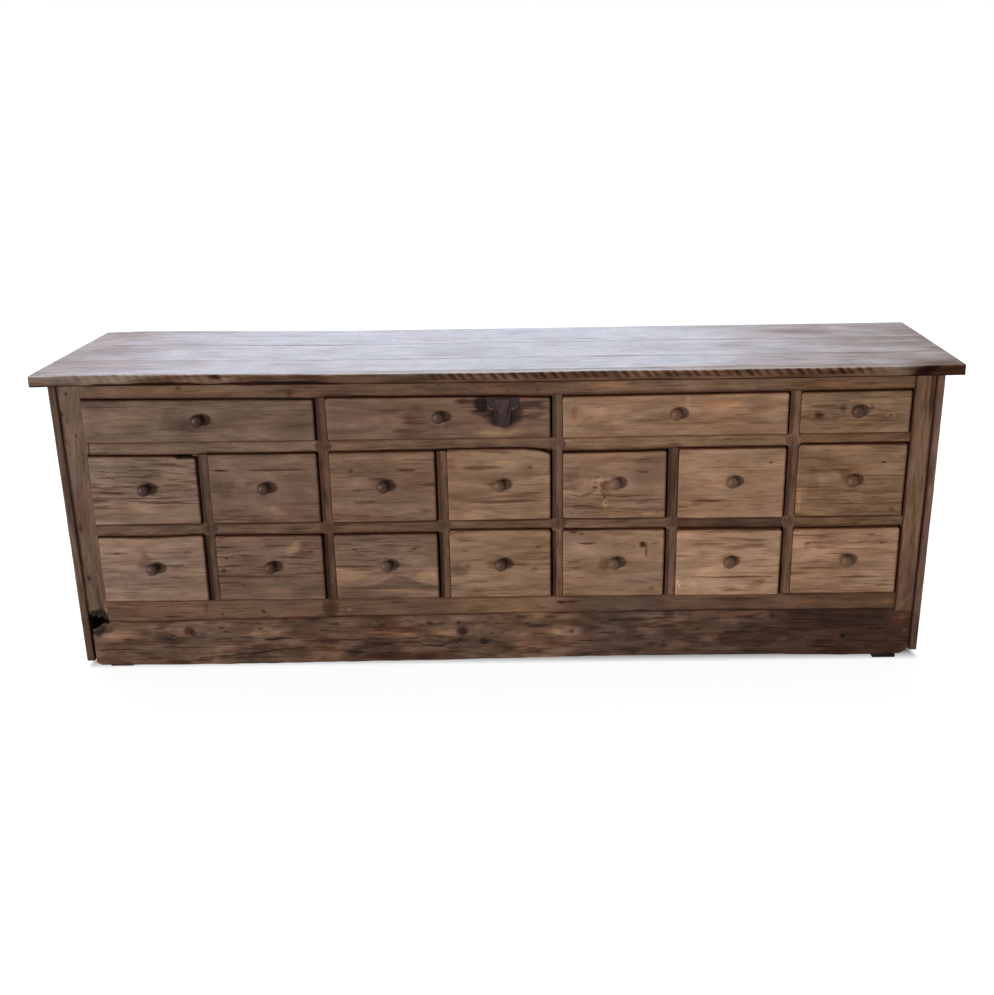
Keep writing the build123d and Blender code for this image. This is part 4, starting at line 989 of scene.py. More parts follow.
class CABINET_OT_top_planks(bpy.types.Operator):
    """Adds the three planks of the top"""

    bl_idname = "cabinet.top_planks"
    bl_label = "Top planks"

    # Places across in metres, and how strong the painted shade in the back seam is there
    seam_shade = ((-0.95, 0.1), (-0.8, 0.2), (-0.74, 0.9), (-0.4, 0.9), (-0.32, 0.05), (0.15, 0.1),
                 (0.22, 0.55), (0.36, 0.55), (0.42, 0.15), (0.5, 0.5), (0.85, 0.4), (0.92, 0.0))

    def execute(self, context):
        names = ("top_plank_front", "top_plank_middle", "top_plank_back")
        front_line = limits(names[0])[0][1]
        depth = limits(names[2])[1][1] - front_line
        for number, name in enumerate(names):
            low, high = limits(name)
            first = low[1] + (PLANK_TONGUE if number else 0)
            size = (high[0] - low[0], high[1] - first, high[2] - low[2])
            seed = 700 + 20 * number
            if number:
                depths, step, lines = None, (0.006, 0.0042), ()
            else:
                depths = list(np.linspace(0.0008, size[2], 13))
                step, lines = (0.0028, 0.0055), (0.002, 0.004, 0.006, 0.009, 0.012)
            board = Board(
                FACING_UP, (low[0], first, high[2]), size, shade_of("top"), seed, step=step, wear=0.0013,
                extra=((), lines), depths=depths,
            )
            board.weather(0.35 * MM, 0.12)
            board.dashes(36, (0.03, 0.97), 0.35, seed + 1, length=(0.03, 0.2), width=0.0016)
            x, y = board.a + low[0], board.b + first
            self.settle(board, x, y - front_line < 0.02)
            self.sheen(board, x)
            if number < 2:
                self.seam(board, x, number)
            if number == 0:
                self.nicks(board, x, context.scene.cabinet_shapes.nick_pitch)
            if number == 2:
                past = np.clip(board.a - (size[0] - TOP_CORNER_RADIUS), 0, TOP_CORNER_RADIUS)
                rounded = TOP_CORNER_RADIUS - np.sqrt(TOP_CORNER_RADIUS**2 - past**2)
                board.trim(1, 1, 2 * TOP_CORNER_RADIUS, -rounded)
            board.age(worn=0.15, grime_and_shade=0.2, reach=0.003)
            side = board.c > SKIN
            board.shade(side, (0.87, 0.84, 0.765))
            board.polish[side] = 0.0
            # The ends are neither square nor parallel
            back = (y - front_line) / depth
            board.trim(0, 0, 0.2, (24 * back - 4) * MM)
            board.trim(0, 1, 0.2, (12.6 * back - 3) * MM)
            material = shared_wood("top board wax")
            boards_object(f"waxed_{name}", [board], material, "cabinet", [name])
        return {"FINISHED"}

    def settle(self, board, x, at_front):
        """The front edge sags, wax covers the nails behind it, and the underside stays on the battens."""
        rise = np.where(at_front, settled("top", x), np.maximum(settled("top", x), WAX))
        board.shape[:, 2] -= rise * (1 - np.where(at_front, 0.4, 1.0) * board.c / board.size[2])

    def seam(self, board, x, number):
        """The seam behind a plank is filled here and open there, with painted shade in it where it is open.
        """
        filled = layered(x / 0.12, x * 0, board.seed + 5, 2)
        if number:
            strong = np.interp(x, *zip(*self.seam_shade)) * ease(filled, 0.15, 0.5)
        else:
            strong = 0.25 * ease(filled, 0.5, 0.7)
        # Painted shade in the open seam
        beside = strong * ease(board.size[1] - board.b, 0.009, 0.003)
        board.shade(beside, (0.4, 0.36, 0.36))
        board.polish *= 1 - beside

    def sheen(self, board, x):
        """The middle of the top is polished by use. Painted sheen: the tone is darker and browner towards the
        ends, and paler and cooler at the right end.
        """
        wander = 0.2 * (noise(board.b / 0.1, x / 0.2, board.seed + 30) - 0.5)
        board.polish = 1 - ease(wander - x, 0.6, 1.7) - ease(wander + x, 0.35, 1.4)
        # Painted sheen: darker and browner towards the ends, paler and cooler at the right end
        board.shade(ease(wander - x, 0.45, 1.0), (0.96, 0.88, 0.86))
        board.shade(ease(wander + x, 0.3, 0.8), (0.94, 0.88, 0.84))
        board.shade(ease(x, 0.85, 1.0), (1.1, 1.16, 1.2))
        if board.seed == 700:
            board.shade(ease(x, 0.98, 1.1) * ease(board.b, 0.1, 0.02), (0.72, 0.62, 0.57))
        ring = layered(board.a / 0.1, board.b / 0.06, board.seed + 31) - 0.5
        board.polish = np.clip(board.polish + 0.45 * ring, 0, 1)

    def nicks(self, board, x, pitch):
        """Slanting nicks along the upper part of the front edge with painted shade in them, old stains on it,
        and a painted shadow along its lower part.
        """
        down = board.c
        edge = (board.b < 0.003) & (down > 0)
        slanted = x - 0.8 * down
        number = np.floor(slanted / pitch)
        cell = number.astype(np.int64)
        jitter = cell_value(cell, 0 * cell, 77)
        away = slanted - (number + 0.35 + 0.3 * jitter) * pitch
        left, right = ease(x, -1.12, -1.0) * ease(x, -0.5, -0.75), ease(x, -0.22, -0.1) * ease(x, 1.0, 0.85)
        strong = (0.35 * left + right) * (0.45 + 0.55 * cell_value(cell, 1 + 0 * cell, 78)) * edge
        reach = 0.0065 + 0.003 * jitter
        mask = ease(np.abs(away), reach, 0.3 * reach) * ease(down, 0.021, 0.014) * strong
        between = ease(np.abs(away - 0.011), 0.006, 0.001) * ease(down, 0.018, 0.012) * strong
        board.shape[:, 1] += 0.0022 * mask
        # Painted shade in the nicks, partly dirt
        board.shade(0.9 * mask, (0.56, 0.46, 0.4))
        board.shade(0.6 * between, (1.25, 1.22, 1.15))
        for low, high, colour in (
            (1.0, 1.04, (0.9, 0.8, 0.76)), (-0.8, -0.95, (1.18, 1.36, 1.48)), (0.3, 0.8, (1.08, 1.16, 1.19)),
            (-0.5, -0.62, (1.15, 1.22, 1.25)),
        ):
            board.shade(edge * ease(x, low, high), colour)
        board.shade(edge * ease(np.abs(x - 1.065 + down), 0.035, 0.01), (0.45, 0.34, 0.32))
        scar = ease(np.abs(x + 0.695 - 0.6 * down), 0.02, 0.005) * ease(down, 0.016, 0.008)
        board.shade(edge * scar, (0.45, 0.42, 0.4))
        darkening = ease(layered(x / 0.12, down / 0.012, 79), 0.45, 0.7)
        board.shade(0.6 * darkening * edge, (0.72, 0.62, 0.58))
        # Painted shadow along the lower part of the front edge
        ragged = layered(x / 0.07, x * 0, 81, 2) * ease(x, -1.02, -0.97) * ease(x, -0.36, -0.45)
        shadow = 0.0225 - 0.009 * ragged
        board.shade(edge * ease(down, shadow, shadow + 0.0025), (0.36, 0.26, 0.22))
        under = layered(x / 0.11, x * 0, 80, 3) - 0.5
        board.shape[:, 2] -= 0.004 * np.clip(under, 0, 1) * ease(down, 0.014, 0.022) * (board.b < 0.02)


class CABINET_OT_sides(bpy.types.Operator):
    """Adds the two side boards"""

    bl_idname = "cabinet.sides"
    bl_label = "Side boards"

    def execute(self, context):
        self.side("side_panel_left", LEFT_SIDE, 800, (0.96, 0.99, 1.0), (1.38, 1.34, 1.28))
        self.side("side_panel_right", RIGHT_SIDE, 820, (1.05, 1.0, 0.98), (1.37, 1.5, 1.55))
        return {"FINISHED"}

    def side(self, name, way, seed, tint, worn):
        """A side of three boards glued edge to edge. Its front edge has a worn tone of its own."""
        low, high = limits(name)
        outer = low[0] if way is LEFT_SIDE else high[0]
        size = (high[2] - low[2], high[1] - low[1], high[0] - low[0])
        joints = [size[1] * share for share in (0.34, 0.67)]
        lines = [joint + shift for joint in joints for shift in (-0.002, -0.0007, 0.0, 0.0007, 0.002)]
        board = Board(
            way, (outer, low[1], low[2]), size, toned("side", *tint), seed, step=(0.006, 0.0045), wear=0.0016,
            extra=((), lines + [0.003]), depths=list(np.linspace(0.0008, size[2], 9)),
        )
        board.weather(0.45 * MM, 0.14)
        board.dashes(70, (0.02, 0.98), 0.45, seed + 1, length=(0.03, 0.16), width=0.0022)
        for joint in joints:
            groove = ease(np.abs(board.b - joint), 0.0016, 0.0003) * board.on_face
            board.shape[:, 2] += 0.001 * groove
            board.shade(0.8 * groove, (0.2, 0.15, 0.12))
            board.tone[board.b > joint] *= 0.94 + 0.12 * ((seed + round(joint * 100)) % 3) / 2
        board.stain(0.03, size[1] / 2, 0.12, 0.4, (0.6, 0.56, 0.54), ragged=0.5)
        board.age()
        edge = (board.b < 0.002) & (board.c > 0)
        flecks = ease(layered(board.a / 0.03 + board.c / 0.004, board.c / 0.003, seed + 6), 0.5, 0.75)
        board.shade(edge * (1 - flecks), worn)
        board.shade(edge * flecks, (1.5, 1.52, 1.55))
        # Painted shade at the joint with the stile
        board.shade(edge * ease(board.c, 0.015, 0.019), (0.6, 0.52, 0.48))
        height = board.a + low[2]
        board.shape[:, 2] += -lean_left(height) if way is LEFT_SIDE else lean_right(height)
        if way is RIGHT_SIDE:
            board.trim(0, 0, 0.03, 6 * MM)
        boards_object(f"worn_{name}", [board], shared_wood("worn board"), "cabinet", [name])


class CABINET_OT_face_frame(bpy.types.Operator):
    """Adds the stiles, rails, dividers and muntins of the face frame"""

    bl_idname = "cabinet.face_frame"
    bl_label = "Face frame"

    # For each stile the tint and seed, stains as Board.stains takes them and tones as Board.tones does
    stiles = {
        "stile_left": (
            (0.99, 1.02, 1.03), 300,
            ((0.0, 25, 35, 30, (0.35, 0.3, 0.28)), (0.035, 46, 20, 8, (1.25, 1.25, 1.05)),
             (0.62, 18, 7, 4, (0.5, 0.4, 0.36)), (0.567, 4, 9, 4, (0.5, 0.4, 0.36)),
             (0.51, 28, 7, 3, (0.5, 0.4, 0.36)), (0.26, 8, 8, 4, (0.5, 0.4, 0.36)),
             (0.12, 14, 10, 4, (0.5, 0.4, 0.36)), (0.3, 20, 100, 18, (0.96, 0.84, 0.8))),
            (((0.13, 0.19), (1.05, 1.07, 1.1)), ((0.19, 0.13), (0.94, 0.95, 0.97))),
        ),
        "stile_right": (
            (0.93, 0.93, 0.91), 310,
            ((0.03, 30, 26, 12, (1.25, 1.2, 1.1), 0.6), (0.6, 45, 120, 6, (0.7, 0.62, 0.58))),
            (((0.19, 0.13), (0.91, 0.92, 0.93)), ((0.13, 0.19), (0.34, 0.28), (1.06, 1.07, 1.07)),
             ((0.44, 0.5), (0.94, 0.94, 0.93))),
        ),
    }
    # The left stile's rotten foot: shares of its width, and how much is gone there in millimetres
    rotten_foot = ((0, 18), (0.12, 15), (0.2, 7), (0.28, 13), (0.35, 16), (0.44, 6), (0.55, 7), (0.62, 12),
                   (0.7, 9), (0.8, 3), (0.9, 0), (1, 0))
    top_rail_stains = (
        (-0.517, 10, 10, 10, (0.75, 0.66, 0.6)), (0.28, 22, 90, 14, (1.12, 1.07, 1.02)),
        (0.44, 22, 280, 20, (1.12, 1.11, 1.09)), (-0.85, 22, 120, 14, (1.06, 1.05, 0.98)),
    )
    top_rail_tones = (((-0.5, -0.4), (0.2, 0.1), (0.92, 0.9, 0.9)), ((0.7, 0.8), (0.95, 0.92, 0.86)))
    bottom_rail_stains = (
        (-0.868, 12, 32, 3, (0.55, 0.48, 0.44)), (-0.78, 30, 10, 20, (0.86, 0.8, 0.76)),
        (-0.738, 14, 6, 4, (0.6, 0.52, 0.46)), (-0.628, 20, 8, 6, (0.6, 0.52, 0.46)),
        (-0.447, 26, 24, 44, (0.66, 0.6, 0.52)), (-0.4, 20, 9, 9, (1.3, 1.25, 1.2)),
        (0.185, 38, 40, 4, (0.62, 0.54, 0.48)), (0.37, 4, 26, 4, (0.4, 0.34, 0.3)),
        (0.16, 36, 14, 8, (0.65, 0.56, 0.5)), (0.05, 10, 40, 10, (1.14, 1.08, 1.0)),
        (0.66, 24, 26, 12, (1.16, 1.12, 1.06)), (0.8, 30, 40, 10, (1.14, 1.08, 0.98)),
        (1.02, 26, 20, 14, (1.2, 1.14, 1.02)), (0.62, 40, 60, 10, (0.85, 0.74, 0.68)),
        (-0.96, 30, 60, 14, (1.05, 0.98, 0.96)),
    )
    bottom_rail_tones = (
        ((0.1, 0.22), (0.92, 0.91, 0.92)), ((0.12, 0.2), (0.47, 0.41), (0.88, 0.9, 0.93)),
        ((0.72, 0.9), (0.92, 0.9, 0.84)), ((-0.48, -0.4), (-0.1, -0.18), (0.98, 0.99, 0.99)),
        ((-0.18, -0.1), (0.18, 0.1), (1.09, 1.09, 1.06)),
    )
    # For each upright the tint, and the tones beside the lower, the middle and the upper row
    dividers = (
        ((0.95, 0.9, 0.87), ((0.89, 0.86, 0.81), (1.03, 1.02, 1.04), (0.84, 0.83, 0.85))),
        ((1.02, 1.0, 0.99), ((1.1, 1.12, 1.1), (0.92, 0.92, 0.96), (0.86, 0.9, 0.94))),
        ((0.97, 0.95, 0.94), ((0.97, 0.97, 0.99), (0.9, 0.9, 0.93), (1.03, 1.02, 1.02))),
    )
    muntins = (
        ((0.89, 0.88, 0.86), ((0.93, 0.91, 0.91), (0.98, 0.98, 0.98))),
        ((0.95, 0.94, 0.92), ((0.97, 0.98, 0.98), (1.01, 1.0, 1.01))),
        ((0.92, 0.89, 0.89), ((1.05, 1.07, 1.11), (0.81, 0.79, 0.78))),
    )
    upper_tints = ((1.155, 1.225, 1.31), (1.0, 1.01, 1.0), (1.15, 1.195, 1.18), (0.93, 0.92, 0.85))
    lower_tints = ((0.98, 1.0, 1.02), (0.97, 0.97, 0.99), (0.92, 0.9, 0.88), (1.01, 1.0, 0.94),
                   (0.97, 0.98, 0.97), (0.68, 0.64, 0.61), (0.92, 0.9, 0.85))

    def frame_board(self, way, x, z, seed, tint, extra=((), ())):
        """A length of the frame between its limits across and up."""
        shapes = bpy.context.scene.cabinet_shapes
        long_x = way is FACING_FRONT
        size = (x[1] - x[0], z[1] - z[0]) if long_x else (z[1] - z[0], x[1] - x[0])
        side_tint = 1 + 0.07 * math.tanh((x[0] + x[1]) / 2 / 0.6)
        colour = toned("frame", side_tint * tint[0], side_tint * tint[1], (side_tint - 0.02) * tint[2])
        board = Board(
            way, (x[0], FACE, z[0]), (*size, FRAME_DEPTH), colour, seed, step=(0.004, 0.002),
            wear=shapes.frame_wear, extra=extra,
        )
        board.weather(shapes.frame_ridges, 0.11)
        board.dashes(round(30 * size[0]), (0.1, 0.9), 0.4, seed + 1, length=(0.01, 0.05))
        return board

    def upright(self, x, z, crossings, seed, tint, rows):
        """A divider or muntin that widens to a point where rails meet it, with a tone beside each row, and
        painted shade and highlights along its edges.
        """
        reach = bpy.context.scene.cabinet_shapes.diamond_reach
        ends = [place - z[0] for crossing in crossings for place in (*crossing, sum(crossing) / 2)]
        board = self.frame_board(UPRIGHT_FRONT, x, z, seed, tint, (ends, ()))
        bulge = np.zeros(len(board.a))
        for crossing in crossings:
            middle, half = sum(crossing) / 2 - z[0], (crossing[1] - crossing[0]) / 2
            near = np.clip(1 - np.abs(board.a - middle) / half, 0, 1)
            bulge += near
            board.shade(ease(near, 0, 0.6) * board.on_face, (0.84, 0.83, 0.84))
        board.age(grime_and_shade=0.2, reach=0.003)
        height = board.a + z[0]
        for (low, high), tone in zip((LOWER_ROW, MIDDLE_ROW, UPPER_ROW), rows):
            board.tones(height, [((low - 0.006, low), (high + 0.006, high), tone)])
        width = x[1] - x[0]
        # Painted shadow of the proud drawers down the left edge, strongest in the lower row
        ragged = 0.7 + 0.4 * layered(board.a / 0.03, board.b / 0.01, seed + 18, 2)
        strength = np.where(board.a < LOWER_RAIL[0] - z[0], 1.0 if x[0] < 0.2 else 0.6, 0.55)
        beside = (bulge < 0.01) * (board.c < 0.004)
        board.shade(beside * strength * ragged * ease(board.b, 0.0125, 0.0055), (0.42, 0.32, 0.27))
        # Painted shade along the right edge, in the gap at each drawer's left side
        board.shade(beside * ease(width - board.b, 0.004, 0.001), (0.75, 0.68, 0.62))
        # Painted highlight on the left flank of each crossing
        board.shade((bulge > 0.05) * ease(board.b, 0.003, 0.0) * (board.c < 0.002), (1.15, 1.13, 1.1))
        board.trim(1, 0, width / 2, -reach * bulge)
        board.trim(1, 1, width / 2, reach * bulge)
        return board

    def rail(self, x, z, pointed, seed, tint=(1, 1, 1), edges=(None, None)):
        """A rail, or a length of one, notched at its ends for the uprights, between its settled edges."""
        reach = bpy.context.scene.cabinet_shapes.diamond_reach
        height = z[1] - z[0]
        board = self.frame_board(FACING_FRONT, x, z, seed, tint, ((), [height / 2]))
        notch = np.clip(1 - np.abs(board.b - height / 2) / (height / 2), 0, 1)
        board.age(grime_and_shade=0.25, reach=0.003)
        # Painted shade along the upper and lower edges, beside the gaps of the drawers
        board.rim(1, 1, 0.004, (0.78, 0.7, 0.65))
        board.rim(1, 0, 0.006, (0.7, 0.6, 0.55))
        for end in (0, 1):
            if pointed[end]:
                # Painted shade along the joint with the upright
                board.rim(0, end, 0.004, (0.84, 0.78, 0.74))
                board.trim(0, end, 0.03, (1, -1)[end] * (reach * notch - 0.4 * MM))
            if edges[end]:
                board.trim(1, end, height / 2, settled(edges[end], board.a + x[0]))
        return board

    def stile(self, name, tint, seed, stains, tones):
        """An upright at an end of the frame, with a ragged gap beside its side board."""
        low, high = limits(name)
        board = self.frame_board(UPRIGHT_FRONT, (low[0], high[0]), (low[2], high[2]), seed, tint)
        board.stains(stains)
        board.tones(board.a, tones)
        if name == "stile_left":
            rise = np.interp(board.b / board.size[1], *zip(*self.rotten_foot)) * MM
            for share in (0.2, 0.45, 0.6, 0.8):
                splinter = share * board.size[1]
                board.cut([(0.0, splinter), (0.028, splinter + 0.001)], 1.8 * MM, 2 * MM)
            board.trim(0, 0, 0.035, rise)
        board.age()
        gap = (0.8 + 1.8 * layered(board.a / 0.09, board.a * 0, seed + 19, 2)) * MM
        height = board.a + low[2]
        if name == "stile_left":
            # Painted shade in the crack beside the side board
            board.rim(1, 0, 0.0045, (0.45, 0.36, 0.32))
            board.trim(1, 0, 0.03, gap - lean_left(height) + 0.5 * MM)
        else:
            # Painted shade in the crack beside the side board, and painted shadow down the left edge beside
            # the drawers
            board.rim(1, 1, 0.0045, (0.45, 0.36, 0.32))
            board.rim(1, 0, 0.005, (0.5, 0.4, 0.35))
            board.trim(1, 1, 0.03, -(gap + lean_right(height)))
        return board

    def execute(self, context):
        inner = (COLUMNS[0][0], COLUMNS[-1][1])
        pieces = {name: [self.stile(name, *look)] for name, look in self.stiles.items()}

        top_z = (UPPER_ROW[1], TOP_UNDERSIDE)
        rail = self.rail(inner, top_z, (False, False), 320, edges=("upper_ceiling", None))
        rail.knot(-0.795 - inner[0], 0.03, 0.007, 0.5)
        rail.cut([(0.095 - inner[0], 0.012), (0.112 - inner[0], 0.013)], 2 * MM, 0.8 * MM)
        rail.stains(self.top_rail_stains, inner[0])
        rail.tones(rail.a + inner[0], self.top_rail_tones)
        pieces["top_rail"] = [rail]

        bottom_z = (FRAME_BOTTOM, LOWER_ROW[0])
        rail = self.rail(inner, bottom_z, (False, False), 330, edges=("plinth_joint", None))
        rail.stains(self.bottom_rail_stains, inner[0])
        rail.tones(rail.a + inner[0], self.bottom_rail_tones)
        pieces["bottom_rail"] = [rail]

        pieces["dividers"] = [
            self.upright(place, (LOWER_ROW[0], UPPER_ROW[1]), (LOWER_RAIL, UPPER_RAIL), 340 + 10 * i, *look)
            for i, (place, look) in enumerate(zip(UPRIGHTS[1::2], self.dividers))
        ]
        crossing = sum(UPPER_RAIL) / 2 - LOWER_ROW[0]
        first, _, last = pieces["dividers"]
        for a, b in ((0.004, -0.004), (0.004, 0.004), (-0.003, 0.0)):
            first.hole(crossing + a, first.size[1] / 2 + b, 0.0014, 0.002)
        last.stain(crossing, 0.023, 0.012, 0.007, (1.35, 1.28, 1.2))

        pieces["muntins"] = [
            self.upright(place, (LOWER_ROW[0], MIDDLE_ROW[1]), (LOWER_RAIL,), 370 + 10 * i, *look)
            for i, (place, look) in enumerate(zip(UPRIGHTS[0::2], self.muntins))
        ]

        pieces["upper_rails"] = [
            self.rail(x, UPPER_RAIL, (i > 0, i < 3), 400 + 10 * i, tint, ("middle_ceiling", "upper_floor"))
            for i, (x, tint) in enumerate(zip(BAYS, self.upper_tints))
        ]
        crossed = (0.0, UPPER_RAIL[1] - UPPER_RAIL[0])
        patched = pieces["upper_rails"][0]
        patched.stain(0.06, 0.016, 0.06, 0.012, (1.1, 1.1, 1.1))
        patched.cut([(0.005, z) for z in crossed], 1.6 * MM, 1.0 * MM)

        pieces["lower_rails"] = [
            self.rail(x, LOWER_RAIL, (i > 0, i < 6), 450 + 10 * i, tint, ("lower_ceiling", "middle_floor"))
            for i, (x, tint) in enumerate(zip(COLUMNS, self.lower_tints))
        ]
        # Painted shade along the upper edge of each lower rail, under the middle drawers
        for board in pieces["lower_rails"]:
            board.stain(board.size[0] / 2, 0.031, 0.2, 0.005, (0.68, 0.62, 0.58), ragged=0.2)
        patched = pieces["lower_rails"][3]
        patched.cut([(0.166, z) for z in crossed], 1.6 * MM, 1.0 * MM)
        patched.cut([(0.226, z) for z in crossed], 1.2 * MM, 0.8 * MM)
        patched.stain(0.18, 0.011, 0.005, 0.006, (1.4, 1.36, 1.28))

        for name, boards in pieces.items():
            boards_object(f"worn_{name}", boards, shared_wood("worn board"), "cabinet", [name])
        return {"FINISHED"}


class CABINET_OT_plinth(bpy.types.Operator):
    """Adds the rough plinth board under the frame"""

    bl_idname = "cabinet.plinth"
    bl_label = "Plinth"

    # Stains as Board.stains takes them
    stains = (
        (-0.836, 106, 22, 20, (0.62, 0.52, 0.47)), (-0.822, 98, 12, 14, (0.72, 0.64, 0.6)),
        (-0.885, 100, 18, 14, (1.1, 1.06, 1.03)), (-1.06, 92, 26, 18, (1.08, 1.06, 1.08)),
        (-0.745, 112, 10, 5, (0.5, 0.42, 0.38)), (-0.735, 101, 9, 4, (0.5, 0.42, 0.38)),
        (-0.642, 108, 9, 5, (0.6, 0.5, 0.45)), (-0.93, 36, 120, 14, (0.86, 0.84, 0.84)),
        (-0.6, 76, 44, 5, (0.6, 0.52, 0.48), 0.08), (-1.02, 90, 60, 20, (1.1, 1.1, 1.1)),
        (-0.8, 20, 30, 8, (0.7, 0.64, 0.6)), (-0.443, 118, 18, 4, (0.6, 0.54, 0.5)),
        (-0.315, 112, 14, 4, (0.66, 0.58, 0.54)), (-0.187, 116, 14, 5, (0.6, 0.5, 0.45)),
        (-0.39, 36, 36, 7, (0.5, 0.42, 0.38)), (-0.3, 32, 14, 4, (0.56, 0.46, 0.42)),
        (-0.099, 92, 22, 17, (0.62, 0.58, 0.58)), (-0.045, 62, 17, 12, (0.5, 0.42, 0.38)),
        (-0.1, 100, 34, 24, (0.84, 0.84, 0.88)), (-0.111, 116, 9, 5, (0.6, 0.52, 0.48)),
        (-0.108, 68, 12, 8, (0.62, 0.56, 0.54)), (-0.3, 90, 90, 26, (1.06, 0.98, 0.95)),
        (-0.46, 60, 60, 30, (0.92, 0.9, 0.84)), (-0.25, 22, 160, 12, (0.76, 0.66, 0.62)),
        (0.324, 64, 50, 3, (1.35, 1.32, 1.28)), (0.754, 62, 16, 10, (1.3, 1.25, 1.2)),
        (1.066, 117, 14, 14, (1.18, 1.18, 1.18)), (1.073, 80, 7, 3, (1.7, 1.7, 1.7), 0.5),
        (0.895, 64, 8, 6, (1.3, 1.22, 1.16)),
    )
    # Cracks: the width, then points across and up, all in millimetres
    cracks = (
        (2.6, (-1088, 48), (-1020, 50), (-946, 46)),
        (3.6, (-810, 26), (-700, 33), (-650, 36), (-600, 44), (-562, 47)),
        (2.4, (-560, 47), (-520, 50)), (3.0, (-435, 72), (-363, 70)),
        (2.2, (-515, 60), (-497, 70), (-479, 74)), (3.4, (-423, 36), (-355, 35)),
        (3.2, (-259, 64), (-215, 60), (-205, 53), (-160, 50), (-125, 66), (-107, 52)),
        (2.2, (590, 83), (620, 81), (678, 82)), (3.0, (814, 36), (850, 34), (890, 34)),
        (2.4, (-634, 72), (-562, 80)), (1.6, (200, 60), (270, 61)), (1.8, (240, 46), (300, 44)),
        (1.4, (380, 40), (400, 52), (440, 58), (470, 50)), (1.4, (-890, 92), (-860, 88)),
        (1.4, (-330, 84), (-290, 85)), (1.6, (700, 92), (760, 90)), (1.8, (930, 96), (1010, 97)),
        (1.6, (-760, 60), (-700, 62)), (1.6, (940, 52), (1040, 50)),
    )
    # Knots: the place across in metres, and in millimetres the height, the reach of its grain and its radius
    knots = (
        (-0.838, 104, 17, 0), (-0.099, 90, 13, 9), (0.434, 44, 12, 9), (0.72, 122, 8, 7), (0.19, 89, 9, 6),
    )
    # The rotten corner: the place from the left end, and how much is gone from the upper edge
    rot = ((0, 27), (10, 26), (17, 25), (21, 21.6), (26, 14), (30, 9), (38, 8.6), (45, 9.4), (52, 3), (60, 0))
    # Tones along the board, as Board.tones takes them
    tones = (
        ((0.5, 0.75), (0.85, 0.8, 0.78)), ((0.75, 0.95), (0.78, 0.73, 0.68)),
        ((-0.6, -0.5), (-0.22, -0.32), (0.9, 0.87, 0.85)), ((0.05, -0.05), (0.98, 0.96, 0.95)),
    )

    def execute(self, context):
        low, high = limits("plinth_board")
        size = (high[0] - low[0], high[2] - low[2], high[1] - low[1])
        rises = [z * MM - low[2] for _, *points in self.cracks for _, z in points]
        lines = [rise + shift for rise in rises for shift in (-1 * MM, 1 * MM)]
        rot_places, rot_depths = np.array(self.rot).T * MM
        worn_places = size[0] - WORN_CORNER[0] * np.array((1, 0.4, 0))
        corners = [*rot_places, *worn_places[:2], CHIPPED_CORNER[0]]
        board = Board(
            FACING_FRONT, low, size, shade_of("plinth"), 900, step=(0.004, 0.0022), wear=0.003,
            extra=(corners, lines),
        )
        x = board.a + low[0]
        for place, rise, around, _ in self.knots:
            board.swirl(place - low[0], rise * MM - low[2], 1.6 * around * MM)
        board.weather(0.9 * MM, 0.2, [(0.0, 1.0, 0.5)])
        board.lift(0.0022 * (layered(board.a / 0.09, board.b / 0.04, 905, 3) - 0.5) * board.on_face)
        drift = 0.1 * (layered(board.b / 0.03, x / 0.1, 906, 2) - 0.5)
        grey = ease(x + drift - 0.3 * (board.b - 0.06), 0.14, 0.26)
        board.shade(grey, (0.86, 0.83, 0.84))
        board.shade(ease(x + drift, -0.02, 0.08) * (1 - grey), (1.1, 1.06, 1.0))
        board.tones(x + drift, self.tones)
        mottle = layered(x / 0.05, board.b / 0.02, 908, 3)
        board.tones(mottle, [((0.5, 0.25), (0.8, 0.75, 0.72)), ((0.55, 0.8), (1.2, 1.18, 1.15))])
        board.dashes(220, (0.04, 0.96), 0.5, 907, length=(0.008, 0.05), width=0.0022)
        board.stains(self.stains, low[0], low[2])
        for place, rise, _, radius in self.knots:
            if radius:
                board.knot(place - low[0], rise * MM - low[2], radius * MM)
        board.hole(0.912 - low[0], 0.066 - low[2], 0.007, 0.006)
        for width, *points in self.cracks:
            board.cut([(px * MM - low[0], pz * MM - low[2]) for px, pz in points], width * MM, 1.4 * MM)
        board.age(worn=0.2, reach=0.008)
        board.stain(0.012, size[1] - 0.02, 0.03, 0.03, (0.4, 0.36, 0.34), ragged=0.5)
        gone = np.interp(board.a, rot_places, rot_depths)
        board.trim(1, 1, 0.05, settled("plinth_joint", x) * ease(x, -1.04, -1.0) - gone)
        worn = np.interp(board.a, worn_places, WORN_CORNER[1] * np.array((0, 0.45, 1)))
        chipped = np.interp(board.a, (0, CHIPPED_CORNER[0]), (CHIPPED_CORNER[1], 0))
        board.trim(1, 0, 0.04, worn + chipped + settled("plinth_foot", x))
        board.trim(0, 1, 0.03, -lean_right(board.b + low[2]))
        material = shared_wood("worn board")
        boards_object("worn_plinth_board", [board], material, "cabinet", ["plinth_board"])
        return {"FINISHED"}


class CABINET_OT_drawer_fronts(bpy.types.Operator):
    """Adds the eighteen drawer fronts"""

    bl_idname = "cabinet.drawer_fronts"
    bl_label = "Drawer fronts"

    def execute(self, context):
        for row, number in DRAWERS:
            boards_object(
                f"front_{row}_{number}", [front_board(row, number)], shared_wood("worn board"),
                f"{row}_drawer_{number}", [f"drawer_{row}_{number}"],
            )
        return {"FINISHED"}


